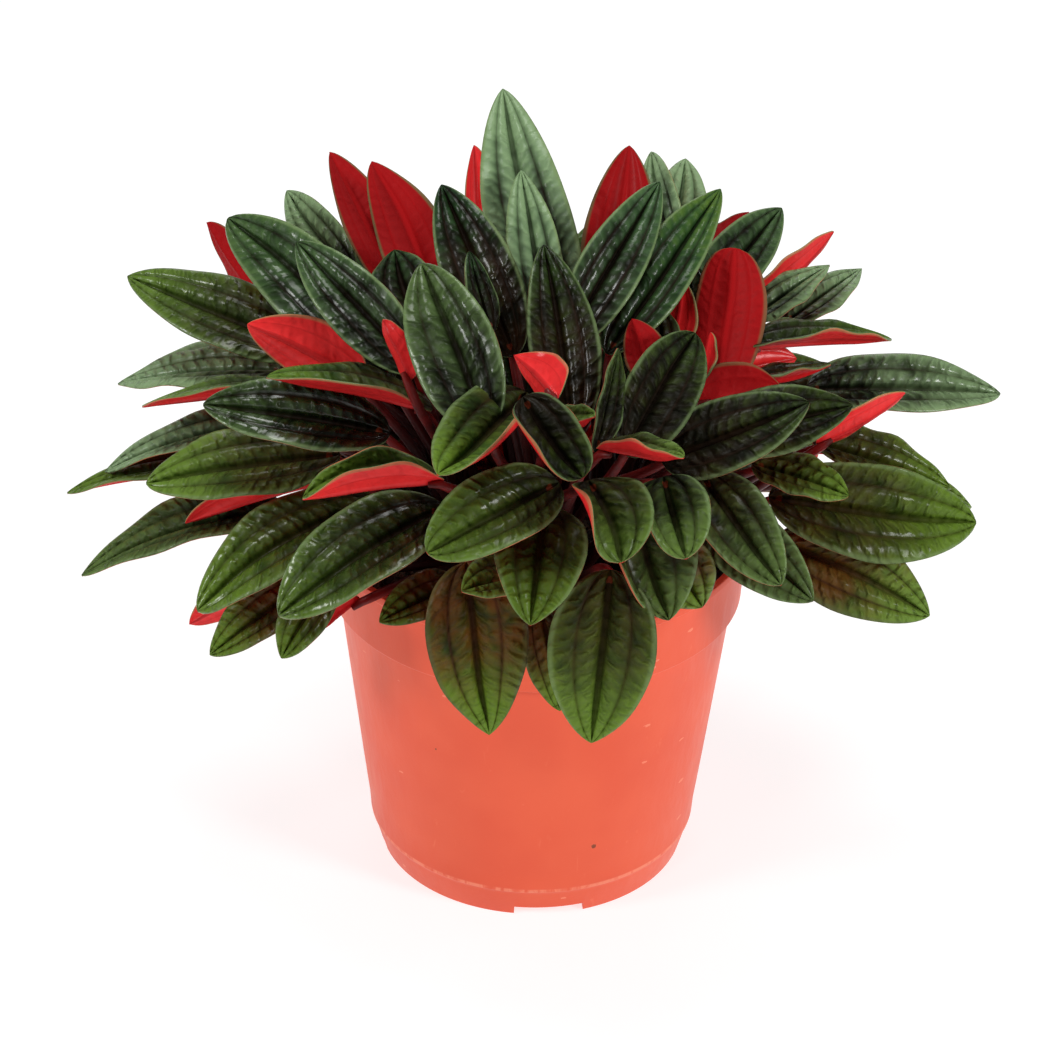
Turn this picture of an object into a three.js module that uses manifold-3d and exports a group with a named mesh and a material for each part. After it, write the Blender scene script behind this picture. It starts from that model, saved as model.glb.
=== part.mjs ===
// A peperomia with ribbed leaves, green above and red below, growing from seven crowns in a nursery pot.
import * as THREE from 'three';
import { mergeVertices } from 'three/addons/utils/BufferGeometryUtils.js';
import Module from 'manifold-3d';

const wasm = await Module();
wasm.setup();

// All sizes are in millimetres, +Z up, with the origin under the middle of the pot.
const GAP = 0.3;
const WELD_DISTANCE = 1e-4;
const FULL_TURN = 2 * Math.PI;
const degrees = (angle) => (angle * Math.PI) / 180;

// Nursery pot
const POT_HEIGHT = 105;
const RIM_RADIUS = 60;
const RIM_LIP = 0.6;
const LIP_TOP = 2.4;
const LIP_BOTTOM = 3;
const BAND_HEIGHT = 20;
const LEDGE_SLOPE = 0.4;
const BAND_FOOT_RADIUS = 58.6;
const WALL_TOP_RADIUS = 56.4;
const SEAM_HEIGHT = 10;
const SEAM_RADIUS = 47.8;
const FOOT_RADIUS = 45;
const FOOT_SLOPE = 2.1;
const WALL = 1.5;
const FLOOR_HEIGHT = 3;
const FLOOR_BEND = 4;
const FLOOR_BEND_INSET = 3;
const POT_SIDES = 48;
const DRAIN_COUNT = 6;
const DRAIN_RING_RADIUS = 30;
const DRAIN_RADIUS = 3.5;
const DRAIN_SIDES = 8;
const NOTCH_COUNT = 4;
const NOTCH_WIDTH = 20;
const NOTCH_TURN = degrees(-83);

// Soil and the crowns that stand in it
const SOIL_TOP = 96;
const SOIL_DOME = 2;
const SOIL_SIDES = 24;
const SOIL_DOME_SHARE = 0.75;
const CROWN_RING_RADIUS = 27;
const CROWN_RING_COUNT = 6;
const MIDDLE_CROWN = CROWN_RING_COUNT;
const CROWN_COUNT = CROWN_RING_COUNT + 1;
const CROWN_TURN = degrees(-90);
const CROWN_RADIUS = 7;
const CROWN_TAPER = 0.8;
const CROWN_TOP = 104;
const CROWN_DEPTH = 14;
const CROWN_SIDES = 10;
const MIDDLE_CROWN_REACH = 30;

// Roots of the petioles on a crown, from its flat outer leaves to its steep inner ones
const ROOT_TIERS = [
  { radius: 5.4, drop: 4.2, steepness: 0.45 },
  { radius: 5.0, drop: 0.4, steepness: 0.8 },
  { radius: 2.2, drop: 0.8, steepness: 1 },
];
const ROOT_SPACING = 3.3;
const ROOT_PASSES = 40;

// Leaves: the shares are of a blade's length, and from -1 to 1 across it
const BLADE_THICKNESS = 1.1;
const STATIONS = [0.07, 0.3, 0.55, 0.8];
const SMALL_STATIONS = [0.1, 0.45, 0.8];
const SMALL_LENGTH = 36;
const RIDGE_PLACE = 0.5;
const ACROSS = [-1, -RIDGE_PLACE, 0, RIDGE_PLACE, 1];
const RIDGE_RISE = 0.12;
const BASE_BLUNTNESS = 0.55;
const TIP_BLUNTNESS = 0.88;
const PETIOLE_RADIUS = 1.6;
const PETIOLE_STEPS = 3;
const PETIOLE_NECK = 1.5;
const PETIOLE_BEND = 0.45;
const PETIOLE_APPROACH = 0.08;
const PETIOLE_HOMEWARD = 0.26;

// Turns of the petiole's corners and of a blade's first ring round the leaf's own line, for their collar
const PETIOLE_TURNS = [0.17, 0.5, 0.83];
const COLLAR_TURNS = [0, 0.1, 0.22, 0.28, 0.4, 0.5, 0.6, 0.72, 0.78, 0.9];
const COLLAR_START = 2;

// Rear leaves, in tiers round the far side of the dome: slant from upright, reach from the hub
const REAR_SEED = 20;
const REAR_MIDDLE = degrees(90);
const REAR_TIERS = [
  { slant: 34, count: 5, reach: 88, spread: 120 },
  { slant: 50, count: 8, reach: 96, spread: 150 },
  { slant: 65, count: 10, reach: 97, spread: 160 },
  { slant: 80, count: 11, reach: 97, spread: 164 },
  { slant: 95, count: 11, reach: 97, spread: 164 },
];
const REAR_LENGTH = 45;
const REAR_LENGTH_SPREAD = 12;
const REAR_REACH_SPREAD = 8;
const REAR_SLANT_SPREAD = 8;
const REAR_ARCHING = 0.84;
const REAR_WIDTH = 23;
const REAR_WIDTH_SPREAD = 8;
const REAR_RISE = 0.05;
const REAR_TURN_SPREAD = 0.5;
const REAR_BASE_TURN_SPREAD = 0.25;
const REAR_UPRIGHTNESS = 4;
const REAR_ROLL_SPREAD = 0.9;

// Settling: leaves that would cross are drawn apart
const SETTLE_ROUNDS = 90;
const OWN_CLEARANCE = 2;
const CROWN_CLEARANCE = 2.8;
const SETTLE_STEP = 0.9;
const SETTLE_SHARE = 0.6;
const SETTLE_REACH = 120;
const FACING_LIMIT = 0.35;
const PRESS_END_MARGIN = 0.02;
const PRESS_EDGE_MARGIN = 1;
const BLADE_ENDS = [0.001, 0.999];
const BLADE_PROBES = [0.02, 0.2, 0.4, 0.6, 0.8, 1];
const SIDE_PROBES = [-0.9, 0, 0.9];
const PETIOLE_PROBES = [0.45, 0.6, 0.75, 0.9];

// The view that the front leaves are placed in, looking at the hub of the dome of leaves
const HUB = new THREE.Vector3(0, 0, 104);
const VIEW_DISTANCE = 829;
const VIEW_ELEVATION = degrees(30.4);
const VIEW_ROLL = degrees(1.05);

// Each leaf that this view shows: its name, then how far right, up and toward the viewer from the hub
// its tip lies, and its base, then its width, how far its upper face is turned from the viewer in
// degrees, the rise of its back and the fold of its sides.
const SEEN_LEAVES = [
  ['top tall', -10, 123, 25, 7, 55, 45, 24, 0, 0.03, 0],
  ['top mid', -4, 100, 45, 3, 55, 58, 15, 5, 0.03, 0],
  ['upper left dark', -27, 96, 50, -8, 50, 62, 20, 0, 0.05, 0],
  ['small upright', -20, 77, 66, -14, 56, 70, 9, 40, 0, 0.3],
  ['front left big', -34, 73, 70, -16, 29, 86, 23, -5, 0.05, 0],
  ['front centre', 2, 79, 66, 8, 33, 86, 19, 10, 0.05, 0],
  ['upper right dark', 35, 96, 45, 9, 53, 62, 17, 5, 0.05, 0],
  ['upper right light', 51, 95, 40, 21, 50, 58, 17, -15, 0.05, 0],
  ['top right red', 26, 107, 30, 20, 63, 32, 21, 180, 0.03, 0.1],
  ['top right thin', 32, 105, 10, 38, 77, 25, 13, -20, 0.03, 0],
  ['top right pale', 43, 103, 5, 37, 74, 20, 16, 0, 0.03, 0],
  ['top left red narrow', -59, 105, 15, -41, 69, 25, 15, 165, 0.03, 0.1],
  ['top left red broad', -46, 103, 28, -29, 63, 38, 20, 180, 0.03, 0.1],
  ['top red sliver', -18, 107, 15, -17, 82, 25, 11, 150, 0.03, 0.1],
  ['top dark sliver', -13, 103, 15, -11, 77, 28, 12, 130, 0.03, 0],
  ['left curl', -45, 57, 78, -37, 42, 74, 9, 150, 0.1, 0.2],
  ['centre red', -7, 48, 100, 5, 33, 94, 13, 165, 0.05, 0.3],
  ['centre boat', 18, 26, 100, 1, 31, 91, 12, -50, 0.05, 0.5],
  ['right oval', 44, 54, 68, 26, 22, 84, 19, 0, 0.05, 0],
  ['narrow upright', 22, 50, 80, 16, 24, 90, 10, 55, 0.02, 0.3],
  ['boat low left', -29, 10, 112, -5, 36, 92, 16, 0, 0.05, 0.4],
  ['cupped centre', 12, 12, 112, -3, 33, 96, 15, 0, 0.05, 0.3],
  ['boat right', 41, 16, 106, 19, 21, 96, 14, -60, 0.05, 0.5],
  ['round front', 24, -11, 108, 15, 10, 97, 19, 0, 0.08, 0.25],
  ['round front right', 42, -10, 104, 36, 11, 92, 17, 0, 0.08, 0.25],
  ['right of front', 68, -18, 92, 48, 11, 78, 16, 0, 0.08, 0],
  ['left of front', -32, -8, 104, 3, 10, 90, 18, 15, 0.08, 0],
  ['front drop', -2, -29, 98, 2, 2, 84, 24, 0, 0.08, 0],
  ['hanging left', -15, -60, 62, -20, -14, 76, 24, 0, 0.06, 0],
  ['hanging centre', 15, -62, 66, 20, -16, 80, 28, 0, 0.08, 0],
  ['hanging behind', 7, -53, 52, 1, -25, 62, 15, 20, 0.05, 0],
  ['drop right', 37, -28, 90, 28, 1, 78, 24, 0, 0.08, 0],
  ['brown right', 46, -24, 66, 36, -6, 74, 18, 0, 0.05, 0],
  ['yellow small', -22, -19, 84, -5, -15, 72, 16, 40, 0.05, 0.2],
  ['left glossy', -73, -27, 72, -29, 3, 66, 21, 20, 0.08, 0],
  ['left glossy two', -97, -24, 52, -48, 5, 48, 20, 25, 0.08, 0],
  ['far left low', -129, -14, 20, -74, 4, 28, 20, 55, 0.05, 0.1],
  ['left under red', -100, 0, 30, -56, 13, 40, 20, 110, 0.03, 0.2],
  ['left broad', -111, 12, 45, -59, 19, 42, 21, 30, 0.06, 0],
  ['far left tip', -133, 9, 10, -84, 15, 20, 18, 60, 0.05, 0.1],
  ['far left two', -122, 15, 10, -78, 28, 22, 17, 50, 0.05, 0],
  ['far left three', -114, 21, -5, -78, 33, 10, 15, 75, 0.05, 0],
  ['left dark glossy', -95, 33, 60, -45, 26, 56, 20, 25, 0.06, 0],
  ['left red edge', -112, 33, 27, -70, 38, 39, 18, 80, 0.04, 0.2],
  ['left pale', -119, 39, 5, -74, 43, 20, 20, 60, 0.04, 0],
  ['left pale two', -109, 45, -8, -76, 46, 8, 18, 55, 0.04, 0],
  ['left boat', -77, 41, 68, -33, 33, 60, 22, 62, 0.04, 0.4],
  ['left red', -82, 57, 50, -52, 41, 48, 18, 170, 0.05, 0.2],
  ['left wing', -116, 70, 8, -63, 49, 25, 22, 20, 0.05, 0],
  ['left upper big', -87, 87, 18, -43, 42, 42, 23, 0, 0.05, 0],
  ['left upper front', -69, 79, 45, -36, 45, 58, 18, 5, 0.05, 0],
  ['left back red', -93, 85, -12, -78, 66, 5, 13, 140, 0.03, 0.1],
  ['left back tip', -86, 73, -8, -74, 63, 5, 14, 100, 0.03, 0],
  ['left back pale', -71, 94, -15, -54, 73, 5, 14, 0, 0.03, 0],
  ['left inner dark', -41, 77, 32, -33, 55, 48, 20, 10, 0.03, 0],
  ['right upper dark', 70, 89, 10, 46, 60, 28, 17, -10, 0.05, 0],
  ['right curved red', 60, 88, 2, 46, 76, 12, 16, 150, 0.1, 0.1],
  ['right red horn', 84, 83, 8, 60, 62, 20, 13, -120, -0.03, 0.2],
  ['right dark horn', 82, 73, 12, 62, 59, 24, 17, -60, 0.03, 0],
  ['right green horn', 92, 72, -8, 72, 58, 10, 17, -55, 0.03, 0],
  ['right big red', 57, 78, 52, 51, 39, 56, 20, 180, 0.03, 0.1],
  ['right two tone', 100, 52, 30, 61, 50, 38, 22, -62, 0.04, 0.3],
  ['right red sliver', 74, 47, 44, 56, 43, 50, 14, -150, 0.03, 0],
  ['right dark boat', 83, 45, 55, 61, 41, 58, 16, -75, -0.03, 0.4],
  ['right red plate', 69, 39, 66, 47, 35, 64, 18, -150, 0.03, 0.1],
  ['right front dark', 77, 34, 82, 38, 19, 80, 21, -15, 0.06, 0],
  ['right second dark', 89, 33, 66, 50, 24, 66, 20, -20, 0.06, 0],
  ['far right', 131, 37, 12, 79, 38, 25, 18, -40, 0.03, 0.1],
  ['right red tongue', 104, 37, 48, 81, 24, 50, 13, -120, -0.03, 0.2],
  ['right striped', 117, 10, 32, 81, 22, 45, 19, -45, 0.05, 0],
  ['right striped two', 123, 4, 16, 89, 15, 30, 17, -50, 0.05, 0],
  ['right big', 124, -1, 38, 68, 7, 52, 23, -20, 0.06, 0],
  ['right low', 111, -26, 42, 70, -6, 50, 19, -15, 0.06, 0],
  ['right small', 88, 8, 66, 63, 16, 62, 14, -60, 0.05, 0.2],
  ['right behind front', 78, -22, 74, 50, 1, 66, 19, 0, 0.06, 0],
  ['left low pink', -99, -28, 30, -78, -17, 37, 13, 150, 0.03, 0],
  ['left low brown', -93, -37, 40, -67, -18, 44, 16, 20, 0.05, 0],
  ['left low drop', -73, -38, 50, -60, -18, 50, 14, 10, 0.05, 0],
  ['left low dark', -65, -33, 44, -52, -22, 46, 12, 120, 0.03, 0],
  ['left red boat', -67, 7, 86, -30, 12, 78, 17, 140, 0.05, 0.4],
  ['inner red sliver', 41, 69, 46, 38, 50, 52, 12, 140, 0.03, 0],
  ['inner dark', 33, 63, 50, 35, 48, 55, 12, 40, 0.03, 0],
  ['inner red', 27, 58, 66, 32, 42, 68, 12, 170, 0.03, 0.2],
  ['inner thin', 49, 54, 62, 46, 41, 64, 10, 110, 0.03, 0],
  ['inner right dark', 43, 74, 38, 43, 55, 44, 16, 20, 0.03, 0],
  ['brown on rim', -45, -28, 60, -24, -18, 56, 14, 30, 0.05, 0],
];

/** The directions right, up and toward the viewer in the view. */
function viewAxes() {
  const toward = new THREE.Vector3(0, -Math.cos(VIEW_ELEVATION), Math.sin(VIEW_ELEVATION));
  const level = new THREE.Vector3(1, 0, 0);
  const upright = new THREE.Vector3().crossVectors(toward, level);
  const [cos, sin] = [Math.cos(VIEW_ROLL), Math.sin(VIEW_ROLL)];
  const right = level.clone().multiplyScalar(cos).addScaledVector(upright, sin);
  const up = level.clone().multiplyScalar(-sin).addScaledVector(upright, cos);
  return { right, up, toward };
}

const VIEW = viewAxes();

/** The point at a place in the view. A nearer point looks larger, so it lies closer in. */
function viewed(right, up, toward) {
  const shrink = 1 - toward / VIEW_DISTANCE;
  return HUB.clone()
    .addScaledVector(VIEW.toward, toward)
    .addScaledVector(VIEW.right, right * shrink)
    .addScaledVector(VIEW.up, up * shrink);
}

/** A repeatable source of numbers from 0 to 1. */
function seeded(seed) {
  const [factor, modulus] = [48271, 2147483647];
  let state = seed;
  return () => {
    state = (state * factor) % modulus;
    return state / modulus;
  };
}

/** What is left of a direction across an axis, at unit length. */
function across(direction, axis) {
  return direction.clone().addScaledVector(axis, -direction.dot(axis)).normalize();
}

/** A direction from the hub, by its turn about the pot's axis and its slant from upright. */
function outwardAt(turn, slant) {
  const level = Math.sin(slant);
  return new THREE.Vector3(Math.cos(turn) * level, Math.sin(turn) * level, Math.cos(slant));
}

/** The leaves that the view shows. */
function seenLeaves() {
  return SEEN_LEAVES.map(([name, ...values]) => {
    const [tipRight, tipUp, tipToward, baseRight, baseUp, baseToward, width, face, rise, fold] = values;
    const tip = viewed(tipRight, tipUp, tipToward);
    const base = viewed(baseRight, baseUp, baseToward);
    const axis = tip.clone().sub(base).normalize();
    const facing = across(VIEW.toward, axis);
    const sideways = new THREE.Vector3().crossVectors(axis, facing);
    const normal = facing.multiplyScalar(Math.cos(degrees(face)));
    normal.addScaledVector(sideways, Math.sin(degrees(face)));
    return { name, tip, base, normal, width, rise, fold, rear: false };
  });
}

/** The leaves on the far side, in tiers, each a little off its even place. */
function rearLeaves() {
  const random = seeded(REAR_SEED);
  const spreadOf = (width) => width * (random() - 0.5);
  const leaves = [];
  REAR_TIERS.forEach(({ slant, count, reach, spread }, tier) => {
    for (let i = 0; i < count; i++) {
      const turn = REAR_MIDDLE + degrees(spread) * ((i + 0.5 + spreadOf(REAR_TURN_SPREAD)) / count - 0.5);
      const length = REAR_LENGTH + spreadOf(REAR_LENGTH_SPREAD);
      const tipReach = reach + spreadOf(REAR_REACH_SPREAD);
      const tipSlant = degrees(slant + spreadOf(REAR_SLANT_SPREAD));
      const tip = HUB.clone().addScaledVector(outwardAt(turn, tipSlant), tipReach);
      const baseTurn = turn + spreadOf(REAR_BASE_TURN_SPREAD);
      const base = HUB.clone()
        .addScaledVector(outwardAt(baseTurn, tipSlant * REAR_ARCHING), tipReach - length);
      const axis = tip.clone().sub(base).normalize();
      const skyward = new THREE.Vector3(Math.cos(turn), Math.sin(turn), REAR_UPRIGHTNESS);
      const normal = across(skyward, axis);
      const sideways = new THREE.Vector3().crossVectors(axis, normal);
      normal.addScaledVector(sideways, spreadOf(REAR_ROLL_SPREAD)).normalize();
      const width = REAR_WIDTH + spreadOf(REAR_WIDTH_SPREAD);
      const name = `rear ${tier + 1}.${i + 1}`;
      leaves.push({ name, tip, base, normal, width, rise: REAR_RISE, fold: 0, rear: true });
    }
  });
  return leaves;
}

/** How wide a blade is at a share of its length, as a share of its full width. */
function outline(along) {
  const shape = (u) => u ** BASE_BLUNTNESS * (1 - u) ** TIP_BLUNTNESS;
  return shape(along) / shape(BASE_BLUNTNESS / (BASE_BLUNTNESS + TIP_BLUNTNESS));
}

/** A blade's length and its directions along, out of its upper face and across. */
function bladeFrame(leaf) {
  const along = leaf.tip.clone().sub(leaf.base);
  const length = along.length();
  along.divideScalar(length);
  const normal = across(leaf.normal, along);
  const side = new THREE.Vector3().crossVectors(along, normal);
  return { length, along, normal, side };
}

/** How far a blade's middle surface stands out from the line from its base to its tip. */
function bladeRise(leaf, length, u, v) {
  return leaf.rise * length * 4 * u * (1 - u) + leaf.fold * (leaf.width / 2) * outline(u) * v * v;
}

/** A point on a blade's middle surface, u along it and v across it. */
function bladePoint(leaf, frame, u, v) {
  return leaf.base.clone()
    .addScaledVector(frame.along, u * frame.length)
    .addScaledVector(frame.side, v * (leaf.width / 2) * outline(u))
    .addScaledVector(frame.normal, bladeRise(leaf, frame.length, u, v));
}

/** Where the top of a crown stands: the last one in the middle, the others in a ring. */
function crownPlace(index) {
  if (index === MIDDLE_CROWN) return new THREE.Vector3(0, 0, CROWN_TOP);
  const turn = CROWN_TURN + (index / CROWN_RING_COUNT) * FULL_TURN;
  const [x, y] = [CROWN_RING_RADIUS * Math.cos(turn), CROWN_RING_RADIUS * Math.sin(turn)];
  return new THREE.Vector3(x, y, CROWN_TOP);
}

/** The crown that a leaf grows from: the middle one near the axis, else the nearest round it. */
function crownOf(leaf) {
  if (!leaf.rear && Math.hypot(leaf.base.x, leaf.base.y) < MIDDLE_CROWN_REACH) return MIDDLE_CROWN;
  const turn = Math.atan2(leaf.base.y, leaf.base.x) - CROWN_TURN;
  const nearest = Math.round((turn / FULL_TURN) * CROWN_RING_COUNT);
  return (nearest + CROWN_RING_COUNT) % CROWN_RING_COUNT;
}

/** Moves turns apart until neighbours keep a spacing. */
function spreadOut(turns, spacing) {
  for (let pass = 0; pass < ROOT_PASSES; pass++) {
    for (let k = 0; k + 1 < turns.length; k++) {
      const lack = Math.max(spacing - (turns[k + 1] - turns[k]), 0);
      turns[k] -= lack / 2;
      turns[k + 1] += lack / 2;
    }
  }
}

/** Gives each leaf of a crown its root: flat leaves low on the stem, steep ones on its top. */
function rootLeaves(leaves, index) {
  const crown = crownPlace(index);
  const middle = index === MIDDLE_CROWN ? 0 : Math.atan2(crown.y, crown.x);
  const offset = (leaf) => leaf.base.clone().sub(crown);
  const slope = (leaf) => offset(leaf).z / Math.hypot(offset(leaf).x, offset(leaf).y);
  const turnOf = (leaf) => {
    const turn = Math.atan2(offset(leaf).y, offset(leaf).x) - middle;
    return Math.atan2(Math.sin(turn), Math.cos(turn));
  };
  const group = leaves.filter((leaf) => leaf.crown === index).sort((a, b) => slope(a) - slope(b));
  ROOT_TIERS.forEach(({ radius, drop, steepness }, tier) => {
    const from = Math.round((group.length * tier) / ROOT_TIERS.length);
    const to = Math.round((group.length * (tier + 1)) / ROOT_TIERS.length);
    const members = group.slice(from, to).sort((a, b) => turnOf(a) - turnOf(b));
    const turns = members.map(turnOf);
    spreadOut(turns, Math.min(ROOT_SPACING / radius, FULL_TURN / Math.max(members.length, 1)));
    members.forEach((leaf, k) => {
      const [x, y] = [Math.cos(middle + turns[k]), Math.sin(middle + turns[k])];
      leaf.root = crown.clone().add(new THREE.Vector3(radius * x, radius * y, -drop));
      leaf.steepness = steepness;
    });
  });
}

/** The curve of a leaf's petiole, from its root inside the crown to the blade. */
function petioleCurve(leaf) {
  const frame = bladeFrame(leaf);
  const end = leaf.base.clone().addScaledVector(frame.along, -PETIOLE_NECK);
  const span = end.distanceTo(leaf.root);
  const outward = leaf.root.clone().sub(crownPlace(leaf.crown)).setZ(0).normalize();
  const leave = leaf.root.clone().addScaledVector(outward, span * PETIOLE_BEND * (1 - leaf.steepness));
  leave.z += span * PETIOLE_BEND * leaf.steepness;
  const homeward = leaf.root.clone().sub(end).normalize();
  const arrive = end.clone()
    .addScaledVector(frame.along, -span * PETIOLE_APPROACH)
    .addScaledVector(homeward, span * PETIOLE_HOMEWARD);
  return new THREE.CubicBezierCurve3(leaf.root, leave, arrive, end);
}

/** Points spread over a leaf, each with its share in a move of the leaf's base and of its tip. */
function probesOf(leaf, frame) {
  const onBlade = BLADE_PROBES.flatMap((u) => SIDE_PROBES.map((v) => (
    { place: bladePoint(leaf, frame, u, v), base: 1 - u, tip: u })));
  const curve = petioleCurve(leaf);
  const onPetiole = PETIOLE_PROBES.map((t) => ({ place: curve.getPoint(t), base: t * t, tip: 0 }));
  return [...onBlade, ...onPetiole];
}

/** The point of another leaf that comes too close to a blade, how close, and on which side of it. */
function closestPress(leaf, frame, probes, clearance) {
  const hits = [];
  for (const probe of probes) {
    const offset = probe.place.clone().sub(leaf.base);
    const share = offset.dot(frame.along) / frame.length;
    if (share < -PRESS_END_MARGIN || share > 1 + PRESS_END_MARGIN) continue;
    const u = Math.min(Math.max(share, BLADE_ENDS[0]), BLADE_ENDS[1]);
    const v = offset.dot(frame.side) / ((leaf.width / 2) * outline(u) + PRESS_EDGE_MARGIN);
    if (Math.abs(v) > 1) continue;
    hits.push({ probe, u, height: offset.dot(frame.normal) - bladeRise(leaf, frame.length, u, v) });
  }
  const side = Math.sign(hits.reduce((sum, hit) => sum + hit.height, 0)) || 1;
  const lacks = hits.map((hit) => ({ ...hit, side, lack: clearance - side * hit.height }));
  return lacks.reduce((worst, hit) => (hit.lack > (worst ? worst.lack : 0) ? hit : worst), null);
}

/** Draws apart, step by step, the leaves that would cross, along the line of sight where they face it. */
function settle(leaves) {
  for (let round = 0; round < SETTLE_ROUNDS; round++) {
    const frames = leaves.map(bladeFrame);
    const probes = leaves.map((leaf, i) => probesOf(leaf, frames[i]));
    const moves = leaves.map(() => ({ base: new THREE.Vector3(), tip: new THREE.Vector3() }));
    leaves.forEach((leaf, j) => {
      const facing = frames[j].normal.dot(VIEW.toward);
      const faces = Math.abs(facing) > FACING_LIMIT;
      const push = faces ? VIEW.toward.clone().divideScalar(facing) : frames[j].normal;
      leaves.forEach((other, i) => {
        if (i === j || other.base.distanceTo(leaf.base) > SETTLE_REACH) return;
        const clearance = other.crown === leaf.crown ? OWN_CLEARANCE : CROWN_CLEARANCE;
        const press = closestPress(leaf, frames[j], probes[i], clearance);
        if (!press) return;
        const { base, tip } = press.probe;
        const weight = base ** 2 + tip ** 2 + (1 - press.u) ** 2 + press.u ** 2;
        const step = (press.side * Math.min(press.lack, SETTLE_STEP) * SETTLE_SHARE) / weight;
        moves[i].base.addScaledVector(push, step * base);
        moves[i].tip.addScaledVector(push, step * tip);
        moves[j].base.addScaledVector(push, -step * (1 - press.u));
        moves[j].tip.addScaledVector(push, -step * press.u);
      });
    });
    leaves.forEach((leaf, i) => {
      leaf.base.add(moves[i].base.clampLength(0, SETTLE_STEP));
      leaf.tip.add(moves[i].tip.clampLength(0, SETTLE_STEP));
    });
  }
}

/** All leaves, each rooted in its crown and clear of the others. */
function growLeaves() {
  const leaves = [...seenLeaves(), ...rearLeaves()];
  for (const leaf of leaves) leaf.crown = crownOf(leaf);
  for (let index = 0; index < CROWN_COUNT; index++) rootLeaves(leaves, index);
  settle(leaves);
  return leaves;
}

/** The rings of a petiole: three-sided and flat above, like the real channelled stalk. */
function petioleRings(leaf, frame) {
  const curve = petioleCurve(leaf);
  return Array.from({ length: PETIOLE_STEPS + 1 }, (_, step) => {
    const centre = curve.getPoint(step / PETIOLE_STEPS);
    const tangent = curve.getTangent(step / PETIOLE_STEPS);
    const normal = across(frame.normal, tangent);
    const side = new THREE.Vector3().crossVectors(tangent, normal);
    return PETIOLE_TURNS.map((turn) => centre.clone()
      .addScaledVector(normal, PETIOLE_RADIUS * Math.cos(turn * FULL_TURN))
      .addScaledVector(side, PETIOLE_RADIUS * Math.sin(turn * FULL_TURN)));
  });
}

/** The rings of a blade: at each station its upper points, then its lower points back again. */
function bladeRings(leaf, frame) {
  const stations = leaf.rear || frame.length < SMALL_LENGTH ? SMALL_STATIONS : STATIONS;
  return stations.map((u) => {
    const ridge = (v) => (Math.abs(v) === RIDGE_PLACE ? RIDGE_RISE * (leaf.width / 2) * outline(u) : 0);
    const shifted = (place, rise) => place.clone().addScaledVector(frame.normal, rise);
    const middle = ACROSS.map((v) => shifted(bladePoint(leaf, frame, u, v), ridge(v)));
    const upper = middle.map((place) => shifted(place, BLADE_THICKNESS / 2));
    const lower = middle.map((place) => shifted(place, -BLADE_THICKNESS / 2));
    return [...upper, ...lower.reverse()];
  });
}

/** The faces of the petiole's end in the crown and of its sides. */
function petioleFaces(stalkAt) {
  const corners = PETIOLE_TURNS.length;
  const faces = [stalkAt(0, 0), stalkAt(0, 2), stalkAt(0, 1)];
  for (let step = 0; step < PETIOLE_STEPS; step++) {
    for (let side = 0; side < corners; side++) {
      faces.push(stalkAt(step, side), stalkAt(step, side + 1), stalkAt(step + 1, side + 1));
      faces.push(stalkAt(step, side), stalkAt(step + 1, side + 1), stalkAt(step + 1, side));
    }
  }
  return faces;
}

/** The faces of the collar between the petiole's last ring and the blade's first one. */
function collarFaces(stalkAt, bladeAt) {
  const stalkTurns = [...PETIOLE_TURNS, 1 + PETIOLE_TURNS[0]];
  const bladeTurns = [...COLLAR_TURNS, 1 + COLLAR_TURNS[0]];
  const faces = [];
  let [inner, outer] = [0, 0];
  while (inner < PETIOLE_TURNS.length || outer < COLLAR_TURNS.length) {
    const innerDone = inner === PETIOLE_TURNS.length;
    const outerNext = outer < COLLAR_TURNS.length && bladeTurns[outer + 1] <= stalkTurns[inner + 1];
    const [stalk, blade] = [stalkAt(PETIOLE_STEPS, inner), bladeAt(0, COLLAR_START + outer)];
    if (innerDone || outerNext) {
      faces.push(stalk, bladeAt(0, COLLAR_START + outer + 1), blade);
      outer++;
    } else {
      faces.push(stalk, stalkAt(PETIOLE_STEPS, inner + 1), blade);
      inner++;
    }
  }
  return faces;
}

/** The faces of a blade, its upper and lower faces split alike, up to its tip's upper and lower point. */
function bladeFaces(rows, bladeAt, tip) {
  const size = 2 * ACROSS.length;
  const last = ACROSS.length - 1;
  const faces = [];
  for (let row = 0; row + 1 < rows; row++) {
    for (let column = 0; column < last; column++) {
      const cell = (at) => [
        at(row, column), at(row, column + 1), at(row + 1, column + 1), at(row + 1, column)];
      const [a, b, c, d] = cell(bladeAt);
      faces.push(a, b, c, a, c, d);
      const [e, f, g, h] = cell((r, k) => bladeAt(r, size - 1 - k));
      faces.push(e, g, f, e, h, g);
    }
    for (const edge of [last, size - 1]) {
      faces.push(bladeAt(row, edge), bladeAt(row, edge + 1), bladeAt(row + 1, edge + 1));
      faces.push(bladeAt(row, edge), bladeAt(row + 1, edge + 1), bladeAt(row + 1, edge));
    }
  }
  for (let place = 0; place < size; place++) {
    const upper = place < last || place === size - 1;
    faces.push(bladeAt(rows - 1, place), bladeAt(rows - 1, place + 1), upper ? tip : tip + 1);
  }
  faces.push(bladeAt(rows - 1, last), tip + 1, tip);
  faces.push(bladeAt(rows - 1, size - 1), tip, tip + 1);
  return faces;
}

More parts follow.
